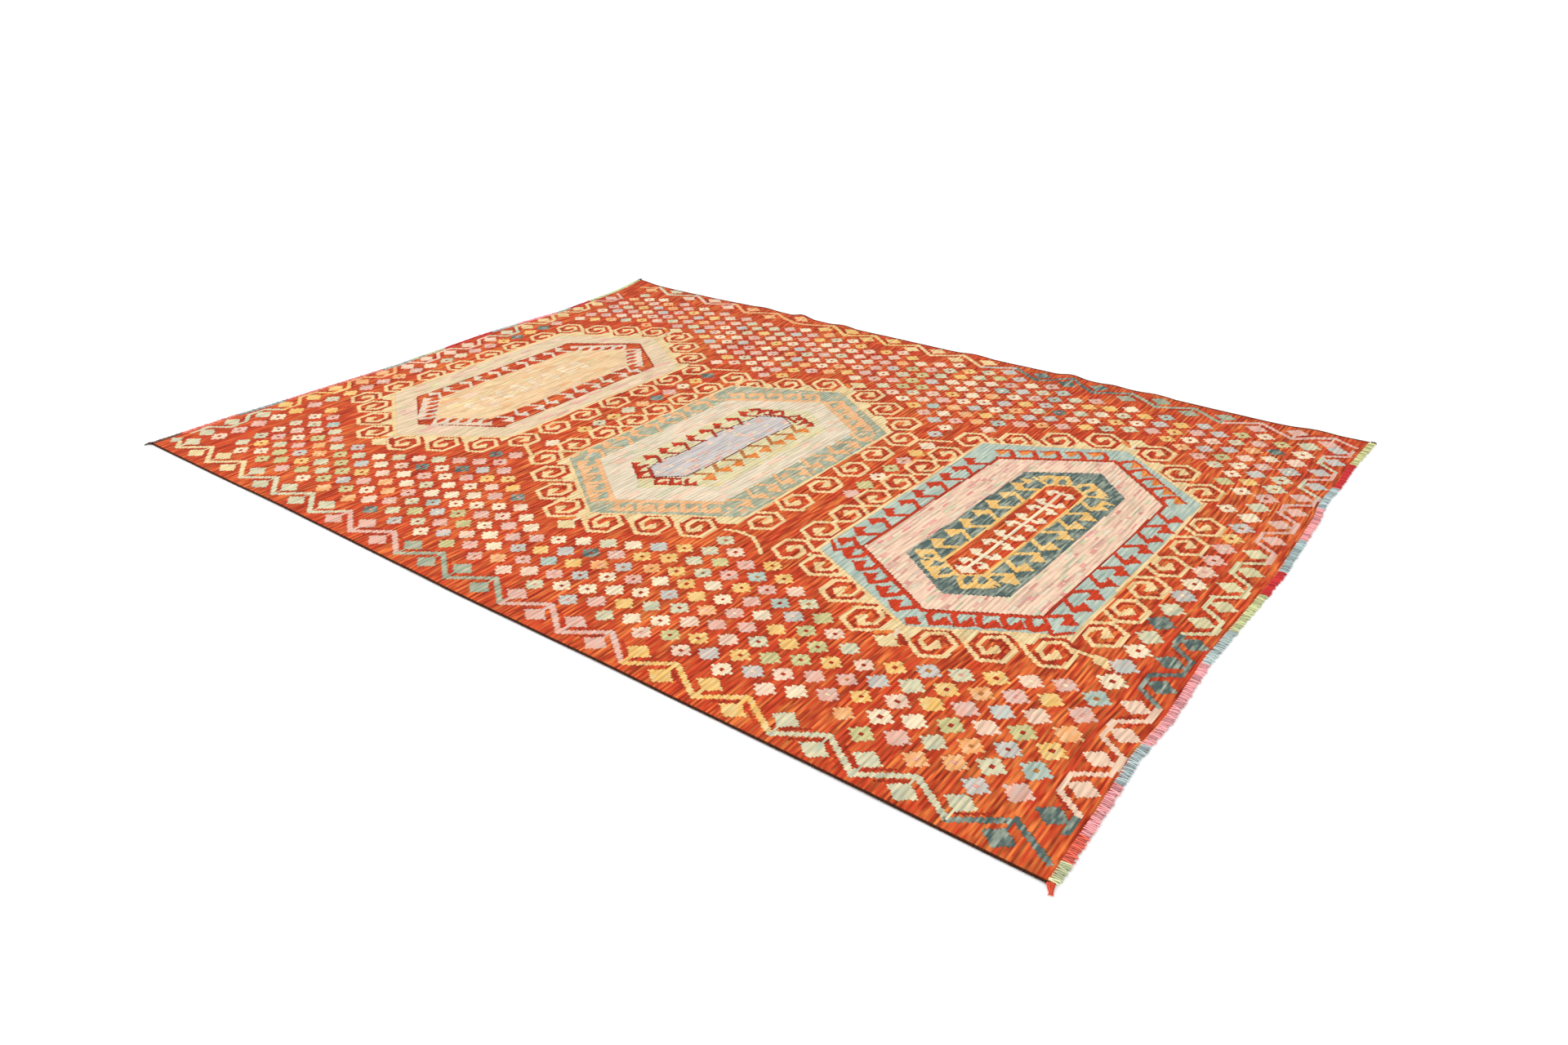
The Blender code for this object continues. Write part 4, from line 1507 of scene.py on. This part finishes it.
@dataclass
class CornerTuft:
    """The loose end of the wrapping yarn at one corner: a knot with strands."""

    end: ShortEnd
    side: LongSide
    length: float
    aim: float                    # degrees from the x axis
    wool: bpy.types.Material
    slot: str
    tree: StrandTree
    strands: int = 14
    steps: int = 8                # points along a strand
    head_radius: float = 0.0038
    yarn_radius: float = 0.0010
    spread: float = 0.30
    base: float = 0.006           # how wide the strands start, to run together at the tip
    bend: float = 0.5

    def build(self) -> bpy.types.Object:
        """Builds one tuft.

        Returns:
            The finished piece, which replaces the tuft's solid.
        """
        end, side = self.end.name.lower(), self.side.name.lower()
        out_x, out_y = (1 if self.end is ShortEnd.RIGHT else -1), (1 if self.side is LongSide.FAR else -1)
        u, v = np.array(self.end.value), np.array(self.side.value)
        x, y = FORM.cloth_at(u, v)
        head = np.array([x + out_x * (FORM.seam_gap + self.head_radius),
                         y + out_y * (FORM.seam_gap + FORM.selvedge_width / 2),
                         FORM.lying(u, v) + self.head_radius * 0.8])
        luck = np.random.default_rng(31 + 2 * out_x + out_y)
        points, edges, thinning = [], [], []
        toward = math.radians(self.aim)
        for strand in range(self.strands):
            share = strand / (self.strands - 1) - 0.5
            way = toward + self.spread * share + luck.uniform(-0.08, 0.08)
            bend, reach = luck.uniform(-self.bend, self.bend), self.length * luck.uniform(0.72, 1.0)
            start, lift = len(points), luck.uniform(0.0008, 0.0040)
            for step in range(self.steps):
                t = step / (self.steps - 1)
                angle = way + bend * t * t
                r, aside = reach * t, self.base * share * (1 - 0.9 * t)
                z = head[2] * (1 - t) ** 2 + lift * (1 - t) * t * 2 + self.yarn_radius * (1 + strand % 3)
                points.append((head[0] + r * math.cos(angle) - aside * math.sin(toward),
                               head[1] + r * math.sin(angle) + aside * math.cos(toward), z))
                thinning.append(1.0 - 0.55 * t)
                if step:
                    edges.append((start + step - 1, start + step))
        tone = np.repeat(luck.uniform(0, 1, self.strands), self.steps)
        guide = helper("guide", np.array(points), edges, [], thinning=np.array(thinning),
                       place=np.full(len(points), 0.1), tone=tone)
        along = np.linspace(-0.7, 0.7, 5)[:, None] * self.head_radius
        aim = np.array([[math.cos(toward), math.sin(toward), 0.0]])
        core = core_along("core", head + along * aim, self.head_radius * 0.9, self.head_radius * 0.72,
                          (0, 1) if abs(aim[0, 0]) > abs(aim[0, 1]) else (1, 0))
        made = self.tree.make(f"tuft_of_yarn_{side}_{end}", guide, core, {
            "Yarn radius": self.yarn_radius, "Sides": 5, "Material": self.wool})
        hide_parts(f"tuft_{side}_{end}")
        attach(made, "root")
        return made


# ---------------------------------------------------------------- floor, light and camera


@dataclass
class Studio:
    """Matt white paper floor, even soft light and the camera at eye height over the near-right corner."""

    place: tuple[float, float, float] = (2.27993, -2.77626, 1.62165)
    right: tuple[float, float, float] = (0.79574, 0.60552, -0.01155)
    up: tuple[float, float, float] = (-0.27979, 0.38446, 0.87972)
    forward: tuple[float, float, float] = (-0.53713, 0.69680, -0.47536)
    lens: float = 25.716
    sensor: float = 36.0
    paper: str = "F8F8F8"
    floor_reach: float = 40.0
    floor_drop: float = 0.0004    # keeps the floor clear of the rug's underside
    lamp_place: tuple[float, float, float] = (-2.0, -3.5, 4.5)
    lamp_size: float = 4.0
    lamp_power: float = 90.0
    surround: float = 1.1

    def floor(self) -> None:
        """Lays the floor."""
        mesh = bpy.data.meshes.new("floor")
        reach = self.floor_reach
        mesh.from_pydata([(-reach, -reach, 0), (reach, -reach, 0), (reach, reach, 0), (-reach, reach, 0)], [],
                         [(0, 1, 2, 3)])
        mesh.materials.append(principled("studio_paper", {
            "Base Color": dye(self.paper), "Roughness": 1.0, "Specular IOR Level": 0.0}))
        made = bpy.data.objects.new("floor", mesh)
        made.location.z = -self.floor_drop
        bpy.context.scene.collection.objects.link(made)

    def lights(self) -> None:
        """Hangs a white surround and one large soft light to the left of the camera."""
        world = bpy.data.worlds.new("surround")
        world.use_nodes = True
        background = world.node_tree.nodes["Background"].inputs
        background["Color"].default_value = dye("FFFFFF")
        background["Strength"].default_value = self.surround
        bpy.context.scene.world = world
        lamp = bpy.data.lights.new("softbox", "AREA")
        lamp.shape, lamp.energy = "RECTANGLE", self.lamp_power
        lamp.size = lamp.size_y = self.lamp_size
        made = bpy.data.objects.new("softbox", lamp)
        made.location = self.lamp_place
        made.rotation_euler = (Vector((0, 0, 0)) - made.location).to_track_quat("-Z", "Y").to_euler()
        bpy.context.scene.collection.objects.link(made)

    def camera(self) -> None:
        """Sets the camera as the photograph's corners give it."""
        lens = bpy.data.cameras.new("camera")
        lens.lens, lens.sensor_width, lens.sensor_fit = self.lens, self.sensor, "HORIZONTAL"
        lens.clip_start, lens.clip_end = 0.05, 200.0
        lens.dof.use_dof = False
        made = bpy.data.objects.new("camera", lens)
        axes = Matrix((self.right, self.up, [-part for part in self.forward])).transposed()
        made.matrix_world = Matrix.Translation(self.place) @ axes.to_4x4()
        bpy.context.scene.collection.objects.link(made)
        bpy.context.scene.camera = made

    def build(self) -> None:
        """Builds the whole studio."""
        self.floor()
        self.lights()
        self.camera()
        bpy.context.scene.view_settings.view_transform = "Standard"


# Where each run of wool ends along a short end, in metres from the near long side, and its colour.
RIGHT_RUNS = (
    (.060, "CDD2A6"), (.150, "E26A58"), (.330, "ECA2A4"), (.480, "AEBCBC"), (.870, "EAA4A6"),
    (1.050, "B4C4C0"), (1.270, "C8CC98"), (1.430, "CC3A3C"), (1.640, "ACBEBE"), (1.880, "EAA0A2"),
    (2.060, "B4C4C4"), (2.270, "C83A3C"), (2.600, "CBCB92"))
LEFT_RUNS = (
    (.100, "7A5448"), (.310, "DE7C6E"), (.490, "9EA2A0"), (.920, "E0847A"), (1.060, "A8ACA8"),
    (1.240, "C2C2A0"), (1.500, "C43A40"), (1.640, "B4BAB6"), (1.850, "EC96A0"), (1.950, "A8A89C"),
    (2.080, "B8404A"), (2.600, "C8CC98"))


def main() -> None:
    """Builds the pieces in order."""
    logging.basicConfig(level=logging.INFO, format="%(name)s: %(message)s")
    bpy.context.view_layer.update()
    Studio().build()
    # the far side's overcasting is of a lighter, redder brown
    dark = LooseWool("overcast_dark_wool", ((1.3, "40200F"), (2.6, "6E3422")), 0.45).material()
    red = LooseWool("orange_red_wool", ((2.6, "CE5238"),), 0.30).material()
    right_wool = LooseWool("end_wool_right", RIGHT_RUNS, 0.50).material()
    left_wool = LooseWool("end_wool_left", LEFT_RUNS, 0.42).material()
    turns, strands = TurnTree(), StrandTree()
    sewn = [part.build() for part in (
        Overcasting(LongSide.NEAR, turns, dark),
        Overcasting(LongSide.FAR, turns, dark),
        EndWraps(ShortEnd.LEFT, turns, left_wool, onto_cloth=0.004),
        EndWraps(ShortEnd.RIGHT, turns, right_wool),
        CornerTuft(ShortEnd.RIGHT, LongSide.NEAR, 0.029, -66, red, "orange_tuft", strands, 22,
                   spread=0.0, base=0.017, bend=0.15),
        CornerTuft(ShortEnd.LEFT, LongSide.NEAR, 0.026, -155, dark, "dark_tuft", strands, base=0.012),
        CornerTuft(ShortEnd.RIGHT, LongSide.FAR, 0.018, 45, dark, "dark_tuft", strands),
        CornerTuft(ShortEnd.LEFT, LongSide.FAR, 0.026, 135, dark, "dark_tuft", strands),
    )]
    sewn.append(Cloth(sewn_on=list(sewn)).build())
    for piece in sewn:
        log.info("%s: %d faces", piece.name, len(piece.data.polygons))


if __name__ == "__main__":
    main()
